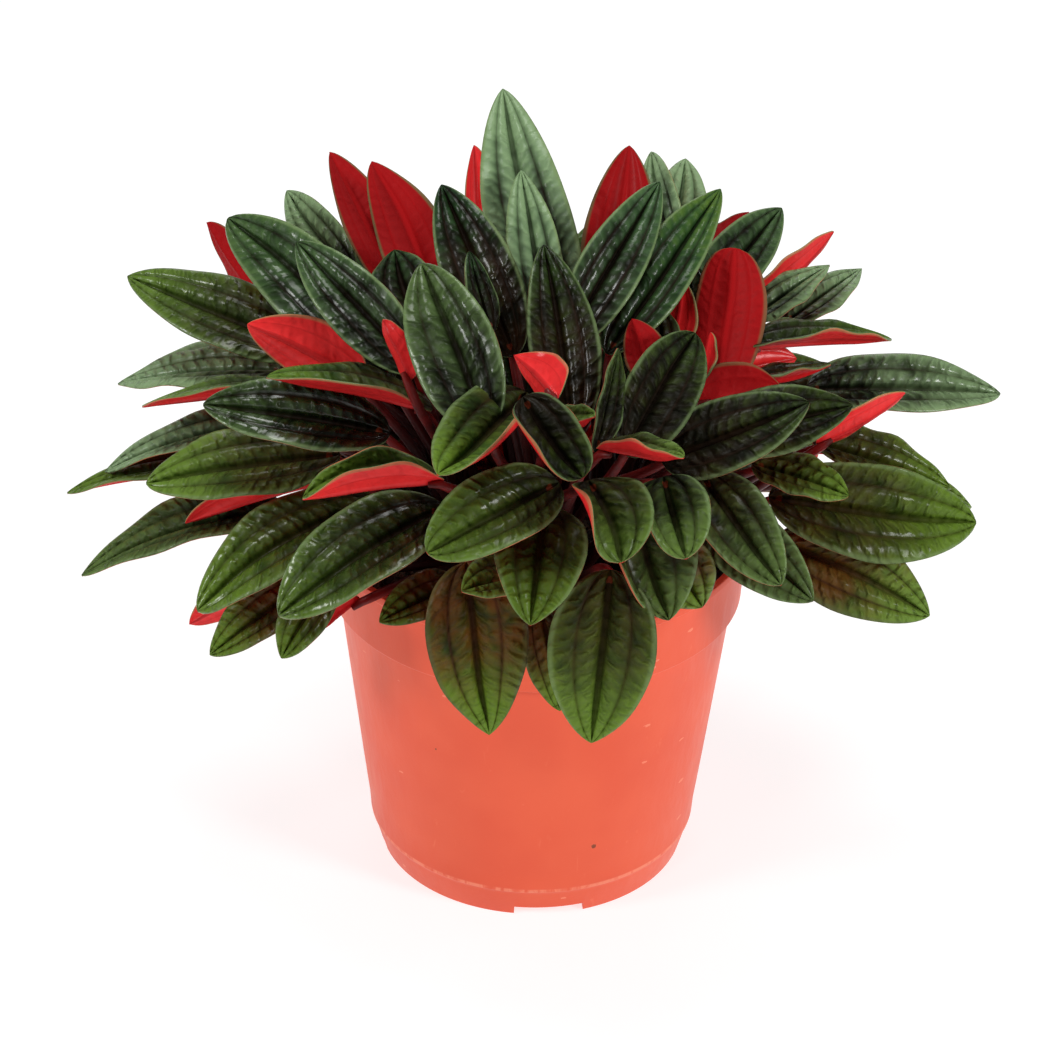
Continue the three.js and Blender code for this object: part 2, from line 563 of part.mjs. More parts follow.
/** A leaf as one closed solid: petiole and ribbed blade. */
function leafGeometry(leaf) {
  const frame = bladeFrame(leaf);
  const petiole = petioleRings(leaf, frame).flat();
  const rings = bladeRings(leaf, frame);
  const size = 2 * ACROSS.length;
  const corners = PETIOLE_TURNS.length;
  const stalkAt = (step, side) => step * corners + (side % corners);
  const bladeAt = (row, place) => petiole.length + row * size + (place % size);
  const points = [...petiole, ...rings.flat()];
  const tip = points.length;
  points.push(leaf.tip.clone().addScaledVector(frame.normal, BLADE_THICKNESS / 2));
  points.push(leaf.tip.clone().addScaledVector(frame.normal, -BLADE_THICKNESS / 2));
  const geometry = new THREE.BufferGeometry();
  const numbers = points.flatMap((place) => [place.x, place.y, place.z]);
  geometry.setAttribute('position', new THREE.Float32BufferAttribute(numbers, 3));
  geometry.setIndex([
    ...petioleFaces(stalkAt),
    ...collarFaces(stalkAt, bladeAt),
    ...bladeFaces(rings.length, bladeAt, tip),
  ]);
  return geometry;
}

/** A solid for joining and cutting from a closed geometry. */
function solid(geometry) {
  geometry.deleteAttribute('normal');
  geometry.deleteAttribute('uv');
  const merged = mergeVertices(geometry, WELD_DISTANCE);
  return new wasm.Manifold(new wasm.Mesh({
    numProp: 3,
    vertProperties: new Float32Array(merged.attributes.position.array),
    triVerts: new Uint32Array(merged.index.array),
  }));
}

/** A geometry from a joined or cut solid. */
function shape(body) {
  const mesh = body.getMesh();
  const geometry = new THREE.BufferGeometry();
  geometry.setAttribute('position', new THREE.BufferAttribute(new Float32Array(mesh.vertProperties), 3));
  geometry.setIndex(new THREE.BufferAttribute(new Uint32Array(mesh.triVerts), 1));
  geometry.computeVertexNormals();
  return geometry;
}

/** A body turned about the upright axis from its profile of [radius, height] points. */
function turned(profile, sides) {
  const points = profile.map(([radius, height]) => new THREE.Vector2(radius, height));
  return new THREE.LatheGeometry(points, sides).rotateX(Math.PI / 2);
}

/** An upright round peg at a place, as wide above as below unless a top radius is given. */
function peg(place, radius, bottom, top, sides, topRadius = radius) {
  const body = new THREE.CylinderGeometry(topRadius, radius, top - bottom, sides).rotateX(Math.PI / 2);
  return body.translate(place.x, place.y, (top + bottom) / 2);
}

/** The radius of the pot's outer wall at a height below its band. */
function wallRadius(height) {
  const share = (height - SEAM_HEIGHT) / (POT_HEIGHT - BAND_HEIGHT - SEAM_HEIGHT);
  return SEAM_RADIUS + (WALL_TOP_RADIUS - SEAM_RADIUS) * share;
}

/** The pot: a tapered wall with a band under its rim, a raised floor with drains and a notched foot. */
function potGeometry() {
  const ledge = POT_HEIGHT - BAND_HEIGHT;
  const floorTop = FLOOR_HEIGHT + WALL;
  const bendRadius = wallRadius(floorTop + FLOOR_BEND) - WALL;
  let body = solid(turned([
    [0, FLOOR_HEIGHT],
    [FOOT_RADIUS - 2 * WALL, FLOOR_HEIGHT],
    [FOOT_RADIUS - FOOT_SLOPE, 0],
    [FOOT_RADIUS, 0],
    [SEAM_RADIUS, SEAM_HEIGHT],
    [WALL_TOP_RADIUS, ledge],
    [BAND_FOOT_RADIUS, ledge + LEDGE_SLOPE],
    [RIM_RADIUS - RIM_LIP, POT_HEIGHT - LIP_BOTTOM],
    [RIM_RADIUS, POT_HEIGHT - LIP_TOP],
    [RIM_RADIUS, POT_HEIGHT],
    [RIM_RADIUS - RIM_LIP - WALL, POT_HEIGHT],
    [BAND_FOOT_RADIUS - WALL, ledge + WALL],
    [WALL_TOP_RADIUS - WALL, ledge - 1],
    [bendRadius, floorTop + FLOOR_BEND],
    [bendRadius - FLOOR_BEND_INSET, floorTop],
    [0, floorTop],
  ], POT_SIDES));
  for (let i = 0; i < DRAIN_COUNT; i++) {
    const turn = (i / DRAIN_COUNT) * FULL_TURN;
    const place = { x: DRAIN_RING_RADIUS * Math.cos(turn), y: DRAIN_RING_RADIUS * Math.sin(turn) };
    body = body.subtract(solid(peg(place, DRAIN_RADIUS, FLOOR_HEIGHT - 1, floorTop + 1, DRAIN_SIDES)));
  }
  for (let i = 0; i < NOTCH_COUNT; i++) {
    const notch = new THREE.BoxGeometry(5 * WALL, NOTCH_WIDTH, 2 * FLOOR_HEIGHT)
      .translate(FOOT_RADIUS - WALL, 0, 0)
      .rotateZ(NOTCH_TURN + (i / NOTCH_COUNT) * FULL_TURN);
    body = body.subtract(solid(notch));
  }
  return shape(body);
}

/** The soil: it fills the pot with a slight dome, with a plain hole for each crown. */
function soilGeometry() {
  const ledge = POT_HEIGHT - BAND_HEIGHT;
  const floorTop = FLOOR_HEIGHT + WALL + GAP;
  const inside = (height) => wallRadius(height) - WALL - 2 * GAP;
  const bandInside = BAND_FOOT_RADIUS - WALL - 3 * GAP;
  let body = solid(turned([
    [0, floorTop],
    [inside(floorTop) - FLOOR_BEND_INSET, floorTop],
    [inside(floorTop + FLOOR_BEND), floorTop + FLOOR_BEND + 1],
    [inside(ledge - 2), ledge - 2],
    [bandInside, ledge + FLOOR_BEND],
    [bandInside, SOIL_TOP - SOIL_DOME],
    [CROWN_RING_RADIUS, SOIL_TOP + SOIL_DOME_SHARE * SOIL_DOME],
    [0, SOIL_TOP + SOIL_DOME],
  ], SOIL_SIDES));
  for (let index = 0; index < CROWN_COUNT; index++) {
    const bottom = CROWN_TOP - CROWN_DEPTH - GAP;
    const hole = peg(crownPlace(index), CROWN_RADIUS + 2 * GAP, bottom, CROWN_TOP, CROWN_SIDES);
    body = body.subtract(solid(hole));
  }
  return shape(body);
}

/** A crown: its short stem with all the leaves that grow from it. */
function crownGeometry(index, leaves) {
  const bottom = CROWN_TOP - CROWN_DEPTH;
  const top = CROWN_RADIUS * CROWN_TAPER;
  const stem = peg(crownPlace(index), CROWN_RADIUS, bottom, CROWN_TOP, CROWN_SIDES, top);
  const own = leaves.filter((leaf) => leaf.crown === index);
  return shape(wasm.Manifold.union([solid(stem), ...own.map((leaf) => solid(leafGeometry(leaf)))]));
}

/** A named mesh. */
function piece(name, geometry, material) {
  const mesh = new THREE.Mesh(geometry, material);
  mesh.name = name;
  return mesh;
}

const POT_PLASTIC = new THREE.MeshStandardMaterial({ color: 0xe8623f, roughness: 0.45, metalness: 0 });
const PEAT = new THREE.MeshStandardMaterial({ color: 0x2b1a12, roughness: 1, metalness: 0 });
const LEAF = new THREE.MeshStandardMaterial({ color: 0x2c4a26, roughness: 0.35, metalness: 0 });

const leaves = growLeaves();
const plant = new THREE.Group();
plant.add(piece('pot', potGeometry(), POT_PLASTIC));
plant.add(piece('soil', soilGeometry(), PEAT));
for (let index = 0; index < CROWN_COUNT; index++) {
  plant.add(piece(`crown_${index + 1}`, crownGeometry(index, leaves), LEAF));
}

export default plant;
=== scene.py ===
"""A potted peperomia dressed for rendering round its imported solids.

Ribbed leaves, green above and red below, stand on red stalks in seven crowns, in damp peat in a nursery
pot of satin plastic. The layout of the leaves repeats the one of the solids, in millimetres, and every
mesh is made in metres in their frame.
"""

import logging
import math
from collections.abc import Sequence
from dataclasses import dataclass, field
from enum import Enum
from functools import cache

import bmesh
import bpy
import numpy as np
from mathutils import Matrix, Vector


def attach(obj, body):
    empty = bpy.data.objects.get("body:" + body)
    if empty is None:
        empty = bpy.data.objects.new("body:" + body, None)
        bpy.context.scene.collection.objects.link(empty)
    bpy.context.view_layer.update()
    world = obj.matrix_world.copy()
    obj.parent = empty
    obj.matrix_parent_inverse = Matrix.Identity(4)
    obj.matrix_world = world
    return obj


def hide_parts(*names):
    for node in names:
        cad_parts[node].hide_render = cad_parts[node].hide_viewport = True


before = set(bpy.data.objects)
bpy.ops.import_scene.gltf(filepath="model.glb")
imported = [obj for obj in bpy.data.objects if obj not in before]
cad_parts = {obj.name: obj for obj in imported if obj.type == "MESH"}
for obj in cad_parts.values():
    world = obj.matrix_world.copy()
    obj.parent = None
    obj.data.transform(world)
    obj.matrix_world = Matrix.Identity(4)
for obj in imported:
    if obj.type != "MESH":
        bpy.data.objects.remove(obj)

Array = np.ndarray
Material = bpy.types.Material
Mesh = bpy.types.Mesh
NodeTree = bpy.types.NodeTree
Socket = bpy.types.NodeSocket
Number = float | Socket
Triple = tuple[float, float, float]
Colour = Triple
Span = tuple[float, float]

LOG = logging.getLogger("potted_peperomia")
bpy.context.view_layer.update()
MM = 0.001
FULL_TURN = 2 * math.pi

# Crowns: a ring of short stems round a middle one
CROWN_RING_RADIUS = 27
CROWN_RING_COUNT = 6
MIDDLE_CROWN = CROWN_RING_COUNT
CROWN_COUNT = CROWN_RING_COUNT + 1
CROWN_TURN = math.radians(-90)
CROWN_TOP = 104
CROWN_DEPTH = 14
CROWN_RADIUS = 7
CROWN_TAPER = 0.8
MIDDLE_CROWN_REACH = 30

# The start of the draws for the small differences among blades
BLADE_SEED = 5

# The view that the front leaves are placed in, looking at the hub of the dome of leaves
HUB = np.array([0.0, 0.0, CROWN_TOP])
VIEW_DISTANCE = 829
VIEW_ELEVATION = math.radians(30.4)
VIEW_ROLL = math.radians(1.05)

# Each leaf that this view shows: its name, then how far right, up and toward the viewer from the hub its
# tip lies, and its base, then its width, how far its upper face is turned from the viewer in degrees, the
# rise of its back and the fold of its sides.
SEEN_LEAVES = (
    ("top tall", -10, 123, 25, 7, 55, 45, 24, 0, 0.03, 0),
    ("top mid", -4, 100, 45, 3, 55, 58, 15, 5, 0.03, 0),
    ("upper left dark", -27, 96, 50, -8, 50, 62, 20, 0, 0.05, 0),
    ("small upright", -20, 77, 66, -14, 56, 70, 9, 40, 0, 0.3),
    ("front left big", -34, 73, 70, -16, 29, 86, 23, -5, 0.05, 0),
    ("front centre", 2, 79, 66, 8, 33, 86, 19, 10, 0.05, 0),
    ("upper right dark", 35, 96, 45, 9, 53, 62, 17, 5, 0.05, 0),
    ("upper right light", 51, 95, 40, 21, 50, 58, 17, -15, 0.05, 0),
    ("top right red", 26, 107, 30, 20, 63, 32, 21, 180, 0.03, 0.1),
    ("top right thin", 32, 105, 10, 38, 77, 25, 13, -20, 0.03, 0),
    ("top right pale", 43, 103, 5, 37, 74, 20, 16, 0, 0.03, 0),
    ("top left red narrow", -59, 105, 15, -41, 69, 25, 15, 165, 0.03, 0.1),
    ("top left red broad", -46, 103, 28, -29, 63, 38, 20, 180, 0.03, 0.1),
    ("top red sliver", -18, 107, 15, -17, 82, 25, 11, 150, 0.03, 0.1),
    ("top dark sliver", -13, 103, 15, -11, 77, 28, 12, 130, 0.03, 0),
    ("left curl", -45, 57, 78, -37, 42, 74, 9, 150, 0.1, 0.2),
    ("centre red", -7, 48, 100, 5, 33, 94, 13, 165, 0.05, 0.3),
    ("centre boat", 18, 26, 100, 1, 31, 91, 12, -50, 0.05, 0.5),
    ("right oval", 44, 54, 68, 26, 22, 84, 19, 0, 0.05, 0),
    ("narrow upright", 22, 50, 80, 16, 24, 90, 10, 55, 0.02, 0.3),
    ("boat low left", -29, 10, 112, -5, 36, 92, 16, 0, 0.05, 0.4),
    ("cupped centre", 12, 12, 112, -3, 33, 96, 15, 0, 0.05, 0.3),
    ("boat right", 41, 16, 106, 19, 21, 96, 14, -60, 0.05, 0.5),
    ("round front", 24, -11, 108, 15, 10, 97, 19, 0, 0.08, 0.25),
    ("round front right", 42, -10, 104, 36, 11, 92, 17, 0, 0.08, 0.25),
    ("right of front", 68, -18, 92, 48, 11, 78, 16, 0, 0.08, 0),
    ("left of front", -32, -8, 104, 3, 10, 90, 18, 15, 0.08, 0),
    ("front drop", -2, -29, 98, 2, 2, 84, 24, 0, 0.08, 0),
    ("hanging left", -15, -60, 62, -20, -14, 76, 24, 0, 0.06, 0),
    ("hanging centre", 15, -62, 66, 20, -16, 80, 28, 0, 0.08, 0),
    ("hanging behind", 7, -53, 52, 1, -25, 62, 15, 20, 0.05, 0),
    ("drop right", 37, -28, 90, 28, 1, 78, 24, 0, 0.08, 0),
    ("brown right", 46, -24, 66, 36, -6, 74, 18, 0, 0.05, 0),
    ("yellow small", -22, -19, 84, -5, -15, 72, 16, 40, 0.05, 0.2),
    ("left glossy", -73, -27, 72, -29, 3, 66, 21, 20, 0.08, 0),
    ("left glossy two", -97, -24, 52, -48, 5, 48, 20, 25, 0.08, 0),
    ("far left low", -129, -14, 20, -74, 4, 28, 20, 55, 0.05, 0.1),
    ("left under red", -100, 0, 30, -56, 13, 40, 20, 110, 0.03, 0.2),
    ("left broad", -111, 12, 45, -59, 19, 42, 21, 30, 0.06, 0),
    ("far left tip", -133, 9, 10, -84, 15, 20, 18, 60, 0.05, 0.1),
    ("far left two", -122, 15, 10, -78, 28, 22, 17, 50, 0.05, 0),
    ("far left three", -114, 21, -5, -78, 33, 10, 15, 75, 0.05, 0),
    ("left dark glossy", -95, 33, 60, -45, 26, 56, 20, 25, 0.06, 0),
    ("left red edge", -112, 33, 27, -70, 38, 39, 18, 80, 0.04, 0.2),
    ("left pale", -119, 39, 5, -74, 43, 20, 20, 60, 0.04, 0),
    ("left pale two", -109, 45, -8, -76, 46, 8, 18, 55, 0.04, 0),
    ("left boat", -77, 41, 68, -33, 33, 60, 22, 62, 0.04, 0.4),
    ("left red", -82, 57, 50, -52, 41, 48, 18, 170, 0.05, 0.2),
    ("left wing", -116, 70, 8, -63, 49, 25, 22, 20, 0.05, 0),
    ("left upper big", -87, 87, 18, -43, 42, 42, 23, 0, 0.05, 0),
    ("left upper front", -69, 79, 45, -36, 45, 58, 18, 5, 0.05, 0),
    ("left back red", -93, 85, -12, -78, 66, 5, 13, 140, 0.03, 0.1),
    ("left back tip", -86, 73, -8, -74, 63, 5, 14, 100, 0.03, 0),
    ("left back pale", -71, 94, -15, -54, 73, 5, 14, 0, 0.03, 0),
    ("left inner dark", -41, 77, 32, -33, 55, 48, 20, 10, 0.03, 0),
    ("right upper dark", 70, 89, 10, 46, 60, 28, 17, -10, 0.05, 0),
    ("right curved red", 60, 88, 2, 46, 76, 12, 16, 150, 0.1, 0.1),
    ("right red horn", 84, 83, 8, 60, 62, 20, 13, -120, -0.03, 0.2),
    ("right dark horn", 82, 73, 12, 62, 59, 24, 17, -60, 0.03, 0),
    ("right green horn", 92, 72, -8, 72, 58, 10, 17, -55, 0.03, 0),
    ("right big red", 57, 78, 52, 51, 39, 56, 20, 180, 0.03, 0.1),
    ("right two tone", 100, 52, 30, 61, 50, 38, 22, -62, 0.04, 0.3),
    ("right red sliver", 74, 47, 44, 56, 43, 50, 14, -150, 0.03, 0),
    ("right dark boat", 83, 45, 55, 61, 41, 58, 16, -75, -0.03, 0.4),
    ("right red plate", 69, 39, 66, 47, 35, 64, 18, -150, 0.03, 0.1),
    ("right front dark", 77, 34, 82, 38, 19, 80, 21, -15, 0.06, 0),
    ("right second dark", 89, 33, 66, 50, 24, 66, 20, -20, 0.06, 0),
    ("far right", 131, 37, 12, 79, 38, 25, 18, -40, 0.03, 0.1),
    ("right red tongue", 104, 37, 48, 81, 24, 50, 13, -120, -0.03, 0.2),
    ("right striped", 117, 10, 32, 81, 22, 45, 19, -45, 0.05, 0),
    ("right striped two", 123, 4, 16, 89, 15, 30, 17, -50, 0.05, 0),
    ("right big", 124, -1, 38, 68, 7, 52, 23, -20, 0.06, 0),
    ("right low", 111, -26, 42, 70, -6, 50, 19, -15, 0.06, 0),
    ("right small", 88, 8, 66, 63, 16, 62, 14, -60, 0.05, 0.2),
    ("right behind front", 78, -22, 74, 50, 1, 66, 19, 0, 0.06, 0),
    ("left low pink", -99, -28, 30, -78, -17, 37, 13, 150, 0.03, 0),
    ("left low brown", -93, -37, 40, -67, -18, 44, 16, 20, 0.05, 0),
    ("left low drop", -73, -38, 50, -60, -18, 50, 14, 10, 0.05, 0),
    ("left low dark", -65, -33, 44, -52, -22, 46, 12, 120, 0.03, 0),
    ("left red boat", -67, 7, 86, -30, 12, 78, 17, 140, 0.05, 0.4),
    ("inner red sliver", 41, 69, 46, 38, 50, 52, 12, 140, 0.03, 0),
    ("inner dark", 33, 63, 50, 35, 48, 55, 12, 40, 0.03, 0),
    ("inner red", 27, 58, 66, 32, 42, 68, 12, 170, 0.03, 0.2),
    ("inner thin", 49, 54, 62, 46, 41, 64, 10, 110, 0.03, 0),
    ("inner right dark", 43, 74, 38, 43, 55, 44, 16, 20, 0.03, 0),
    ("brown on rim", -45, -28, 60, -24, -18, 56, 14, 30, 0.05, 0),
)


@dataclass
class Leaf:
    """A leaf: its blade's tip and base, the way that its upper face looks, and its root in a crown."""

    name: str
    tip: Array
    base: Array
    normal: Array
    width: float
    rise: float
    fold: float
    rear: bool
    crown: int = 0
    root: Array = field(default_factory=lambda: np.zeros(3))
    steepness: float = 0.0


def gathered(leaves: list[Leaf], *parts: str) -> list[Array]:
    """Each of the named parts of all leaves, one array for each part."""
    return [np.array([getattr(leaf, part) for leaf in leaves]) for part in parts]


class Draws:
    """A repeatable source of numbers, the same as the solids are laid out by."""

    FACTOR, MODULUS = 48271, 2147483647

    def __init__(self, seed: int) -> None:
        """Starts the source at the number that its draws follow from."""
        self.state = seed

    def spread(self, width: float) -> float:
        """A draw round 0, over a given width."""
        self.state = (self.state * self.FACTOR) % self.MODULUS
        return width * (self.state / self.MODULUS - 0.5)


def unit(vectors: Array) -> Array:
    """Vectors at unit length."""
    return vectors / np.linalg.norm(vectors, axis=-1, keepdims=True)


def dot(a: Array, b: Array) -> Array:
    """The dot product of each pair of vectors, kept as a column."""
    return np.sum(a * b, axis=-1, keepdims=True)


def level_off(directions: Array, axes: Array) -> Array:
    """What is left of each direction across its axis, at unit length."""
    return unit(directions - dot(directions, axes) * axes)


def outward(turn: float, slant: float) -> Array:
    """A direction from the hub, by its turn about the pot's axis and its slant from upright."""
    return np.array([math.cos(turn) * math.sin(slant), math.sin(turn) * math.sin(slant), math.cos(slant)])


def view_axes() -> tuple[Array, Array, Array]:
    """The axes of the view.

    Returns:
        The directions right, up and toward the viewer.
    """
    toward = np.array([0, -math.cos(VIEW_ELEVATION), math.sin(VIEW_ELEVATION)])
    level = np.array([1.0, 0, 0])
    upright = np.cross(toward, level)
    cos, sin = math.cos(VIEW_ROLL), math.sin(VIEW_ROLL)
    return cos * level + sin * upright, cos * upright - sin * level, toward


VIEW_RIGHT, VIEW_UP, VIEW_TOWARD = view_axes()


def viewed(right: float, up: float, toward: float) -> Array:
    """The point at a place in the view. A nearer point looks larger, so it lies closer in."""
    shrink = 1 - toward / VIEW_DISTANCE
    return HUB + VIEW_TOWARD * toward + VIEW_RIGHT * right * shrink + VIEW_UP * up * shrink


def crown_place(index: int) -> Array:
    """Where a crown stands: the last one in the middle, the others in a ring.

    Args:
        index: the crown.

    Returns:
        The middle of its top.
    """
    if index == MIDDLE_CROWN:
        return HUB.copy()
    turn = CROWN_TURN + index / CROWN_RING_COUNT * FULL_TURN
    return np.array([CROWN_RING_RADIUS * math.cos(turn), CROWN_RING_RADIUS * math.sin(turn), CROWN_TOP])


def smooth(low: float, high: float, x: Array) -> Array:
    """A smooth step from 0 at low to 1 at high."""
    t = np.clip((x - low) / (high - low), 0, 1)
    return t * t * (3 - 2 * t)


@dataclass(frozen=True)
class Outline:
    """How wide a blade is along its length: blunt at the base and drawn out at the tip."""

    base: float = 0.55
    tip: float = 0.88

    def at(self, along: Array) -> Array:
        """How wide the blade is.

        Args:
            along: shares of its length.

        Returns:
            The shares of its full width there.
        """
        widest = self.base / (self.base + self.tip)
        peak = widest**self.base * (1 - widest) ** self.tip
        return along**self.base * (1 - along) ** self.tip / peak


OUTLINE = Outline()


@dataclass(frozen=True)
class Stalk:
    """The course of a petiole, as shares of the way from its root to its blade. The neck is in mm."""

    neck: float = 1.5
    bend: float = 0.45
    approach: float = 0.08
    homeward: float = 0.26

    def controls(self, base: Array, along: Array, root: Array, hub: Array, steep: Array) -> Array:
        """The four points that steer each petiole's curve.

        Args:
            base: the blades' bases.
            along: the directions along the blades.
            root: the petioles' roots.
            hub: the tops of their crowns.
            steep: how steeply each petiole leaves its crown, from 0 to 1.

        Returns:
            The points, as leaf by point by axis.
        """
        end = base - self.neck * along
        span = np.linalg.norm(end - root, axis=-1, keepdims=True)
        out = (root - hub) * np.array([1, 1, 0])
        leave = root + unit(out) * span * self.bend * (1 - steep[:, None])
        leave[:, 2] += span[:, 0] * self.bend * steep
        arrive = end - along * span * self.approach + unit(root - end) * span * self.homeward
        return np.stack([root, leave, arrive, end], axis=1)

    @staticmethod
    def points(controls: Array, t: Array) -> Array:
        """Points on each curve.

        Args:
            controls: the points that steer the curves.
            t: shares of their courses.

        Returns:
            The points, as leaf by share by axis.
        """
        s = 1 - t
        weights = np.stack([s**3, 3 * s * s * t, 3 * s * t * t, t**3])
        return np.einsum("kt,nkd->ntd", weights, controls)


STALK = Stalk()


@dataclass(frozen=True)
class RearTier:
    """A tier of leaves on the far side: slant from upright and spread in degrees, reach from the hub."""

    slant: float
    count: int
    reach: float
    spread: float


@dataclass(frozen=True)
class RearSpread:
    """How much the leaves on the far side differ: each number is the width of the range drawn from.

    The place is a share of a leaf's room, the slant is in degrees, the turn of the base in radians and the
    lean a share of the upper face's direction. The others are in mm.
    """

    place: float = 0.5
    length: float = 12
    reach: float = 8
    slant: float = 8
    base_turn: float = 0.25
    lean: float = 0.9
    width: float = 8


@dataclass(frozen=True)
class RootTier:
    """A tier of roots on a crown: how far out, how far below its top and how steep."""

    radius: float
    drop: float
    steepness: float


@dataclass
class Layout:
    """Places every leaf, gives it its root and draws apart the leaves that would cross."""

    rear_seed: int = 20
    rear_middle: float = math.radians(90)
    rear_tiers: tuple[RearTier, ...] = (
        RearTier(34, 5, 88, 120),
        RearTier(50, 8, 96, 150),
        RearTier(65, 10, 97, 160),
        RearTier(80, 11, 97, 164),
        RearTier(95, 11, 97, 164),
    )
    rear_spread: RearSpread = RearSpread()
    rear_length: float = 45
    rear_width: float = 23
    rear_rise: float = 0.05
    rear_base_slant: float = 0.84
    rear_uprightness: float = 4
    root_tiers: tuple[RootTier, ...] = (
        RootTier(5.4, 4.2, 0.45),
        RootTier(5.0, 0.4, 0.8),
        RootTier(2.2, 0.8, 1.0),
    )
    root_spacing: float = 3.3
    root_passes: int = 40
    rounds: int = 90
    own_clearance: float = 2
    crown_clearance: float = 2.8
    step: float = 0.9
    share: float = 0.6
    reach: float = 120
    facing_limit: float = 0.35
    probes_along: tuple[float, ...] = (0.02, 0.2, 0.4, 0.6, 0.8, 1)
    probes_across: tuple[float, ...] = (-0.9, 0, 0.9)
    probes_on_stalk: tuple[float, ...] = (0.45, 0.6, 0.75, 0.9)
    inside: Span = (0.001, 0.999)
    end_margin: float = 0.02
    side_margin: float = 1

    def grow(self) -> list[Leaf]:
        """Lays out the plant.

        Returns:
            All leaves, each rooted in its crown and clear of the others.
        """
        leaves = self.seen() + self.rear()
        for leaf in leaves:
            leaf.crown = self.crown_of(leaf)
        for index in range(CROWN_COUNT):
            self.root(leaves, index)
        self.settle(leaves)
        return leaves

    def seen(self) -> list[Leaf]:
        """Places the leaves that the view shows.

        Returns:
            The leaves.
        """
        leaves = []
        for name, *values in SEEN_LEAVES:
            tip, base = viewed(*values[0:3]), viewed(*values[3:6])
            width, face, rise, fold = values[6:]
            along = unit(tip - base)
            facing = level_off(VIEW_TOWARD, along)
            turn = math.radians(face)
            normal = facing * math.cos(turn) + np.cross(along, facing) * math.sin(turn)
            leaves.append(Leaf(name, tip, base, normal, width, rise, fold, False))
        return leaves

    def rear(self) -> list[Leaf]:
        """Places the leaves on the far side, in tiers, each a little off its even place.

        Returns:
            The leaves.
        """
        draws = Draws(self.rear_seed)
        spread = self.rear_spread
        leaves = []
        for tier, plan in enumerate(self.rear_tiers):
            for i in range(plan.count):
                place = (i + 0.5 + draws.spread(spread.place)) / plan.count - 0.5
                turn = self.rear_middle + math.radians(plan.spread) * place
                length = self.rear_length + draws.spread(spread.length)
                reach = plan.reach + draws.spread(spread.reach)
                slant = math.radians(plan.slant + draws.spread(spread.slant))
                tip = HUB + outward(turn, slant) * reach
                base_turn = turn + draws.spread(spread.base_turn)
                base = HUB + outward(base_turn, slant * self.rear_base_slant) * (reach - length)
                along = unit(tip - base)
                normal = level_off(np.array([math.cos(turn), math.sin(turn), self.rear_uprightness]), along)
                normal = unit(normal + np.cross(along, normal) * draws.spread(spread.lean))
                width = self.rear_width + draws.spread(spread.width)
                name = f"rear {tier + 1}.{i + 1}"
                leaves.append(Leaf(name, tip, base, normal, width, self.rear_rise, 0, True))
        return leaves

    def crown_of(self, leaf: Leaf) -> int:
        """The crown that a leaf grows from: the middle one near the axis, else the nearest round it.

        Args:
            leaf: the leaf.

        Returns:
            The crown's index.
        """
        if not leaf.rear and math.hypot(leaf.base[0], leaf.base[1]) < MIDDLE_CROWN_REACH:
            return MIDDLE_CROWN
        turn = math.atan2(leaf.base[1], leaf.base[0]) - CROWN_TURN
        return math.floor(turn / FULL_TURN * CROWN_RING_COUNT + 0.5) % CROWN_RING_COUNT

    def root(self, leaves: list[Leaf], index: int) -> None:
        """Gives each leaf of a crown its root: flat leaves low on the stem, steep ones on its top.

        Args:
            leaves: all leaves.
            index: the crown.
        """
        crown = crown_place(index)
        middle = 0.0 if index == MIDDLE_CROWN else math.atan2(crown[1], crown[0])

        def slope(leaf: Leaf) -> float:
            """How steeply the way from the crown to the leaf climbs."""
            x, y, z = leaf.base - crown
            return z / math.hypot(x, y)

        def turn_of(leaf: Leaf) -> float:
            """The leaf's turn about its crown, from the crown's outward side."""
            turn = math.atan2(leaf.base[1] - crown[1], leaf.base[0] - crown[0]) - middle
            return math.atan2(math.sin(turn), math.cos(turn))

        group = sorted((leaf for leaf in leaves if leaf.crown == index), key=slope)
        count = len(self.root_tiers)
        for tier, plan in enumerate(self.root_tiers):
            first = math.floor(len(group) * tier / count + 0.5)
            last = math.floor(len(group) * (tier + 1) / count + 0.5)
            members = sorted(group[first:last], key=turn_of)
            turns = [turn_of(leaf) for leaf in members]
            spacing = min(self.root_spacing / plan.radius, FULL_TURN / max(len(members), 1))
            self.space_out(turns, spacing)
            for leaf, turn in zip(members, turns):
                x, y = math.cos(middle + turn), math.sin(middle + turn)
                leaf.root = crown + np.array([plan.radius * x, plan.radius * y, -plan.drop])
                leaf.steepness = plan.steepness

    def space_out(self, turns: list[float], spacing: float) -> None:
        """Moves turns apart until neighbours keep a spacing.

        Args:
            turns: the turns, in order, which are changed.
            spacing: the spacing.
        """
        for _ in range(self.root_passes):
            for k in range(len(turns) - 1):
                lack = max(spacing - (turns[k + 1] - turns[k]), 0)
                turns[k] -= lack / 2
                turns[k + 1] += lack / 2

    def settle(self, leaves: list[Leaf]) -> None:
        """Draws apart the leaves that would cross, along the line of sight where they face it.

        Args:
            leaves: all leaves, whose tips and bases are moved.
        """
        tips, bases, roots, facings = gathered(leaves, "tip", "base", "root", "normal")
        width, rise, fold, steep, crowns = gathered(leaves, "width", "rise", "fold", "steepness", "crown")
        half = width / 2
        hubs = np.array([crown_place(index) for index in crowns])
        same = crowns[:, None] == crowns[None, :]
        clearance = np.where(same, self.own_clearance, self.crown_clearance)
        probe_u, probe_v = (
            grid.ravel() for grid in np.meshgrid(self.probes_along, self.probes_across, indexing="ij")
        )
        probe_t = np.array(self.probes_on_stalk)
        base_share = np.concatenate([1 - probe_u, probe_t**2])
        tip_share = np.concatenate([probe_u, 0 * probe_t])
        column = (slice(None), None, None)
        for _ in range(self.rounds):
            length = np.linalg.norm(tips - bases, axis=1)
            along = (tips - bases) / length[:, None]
            normal = level_off(facings, along)
            side = np.cross(along, normal)

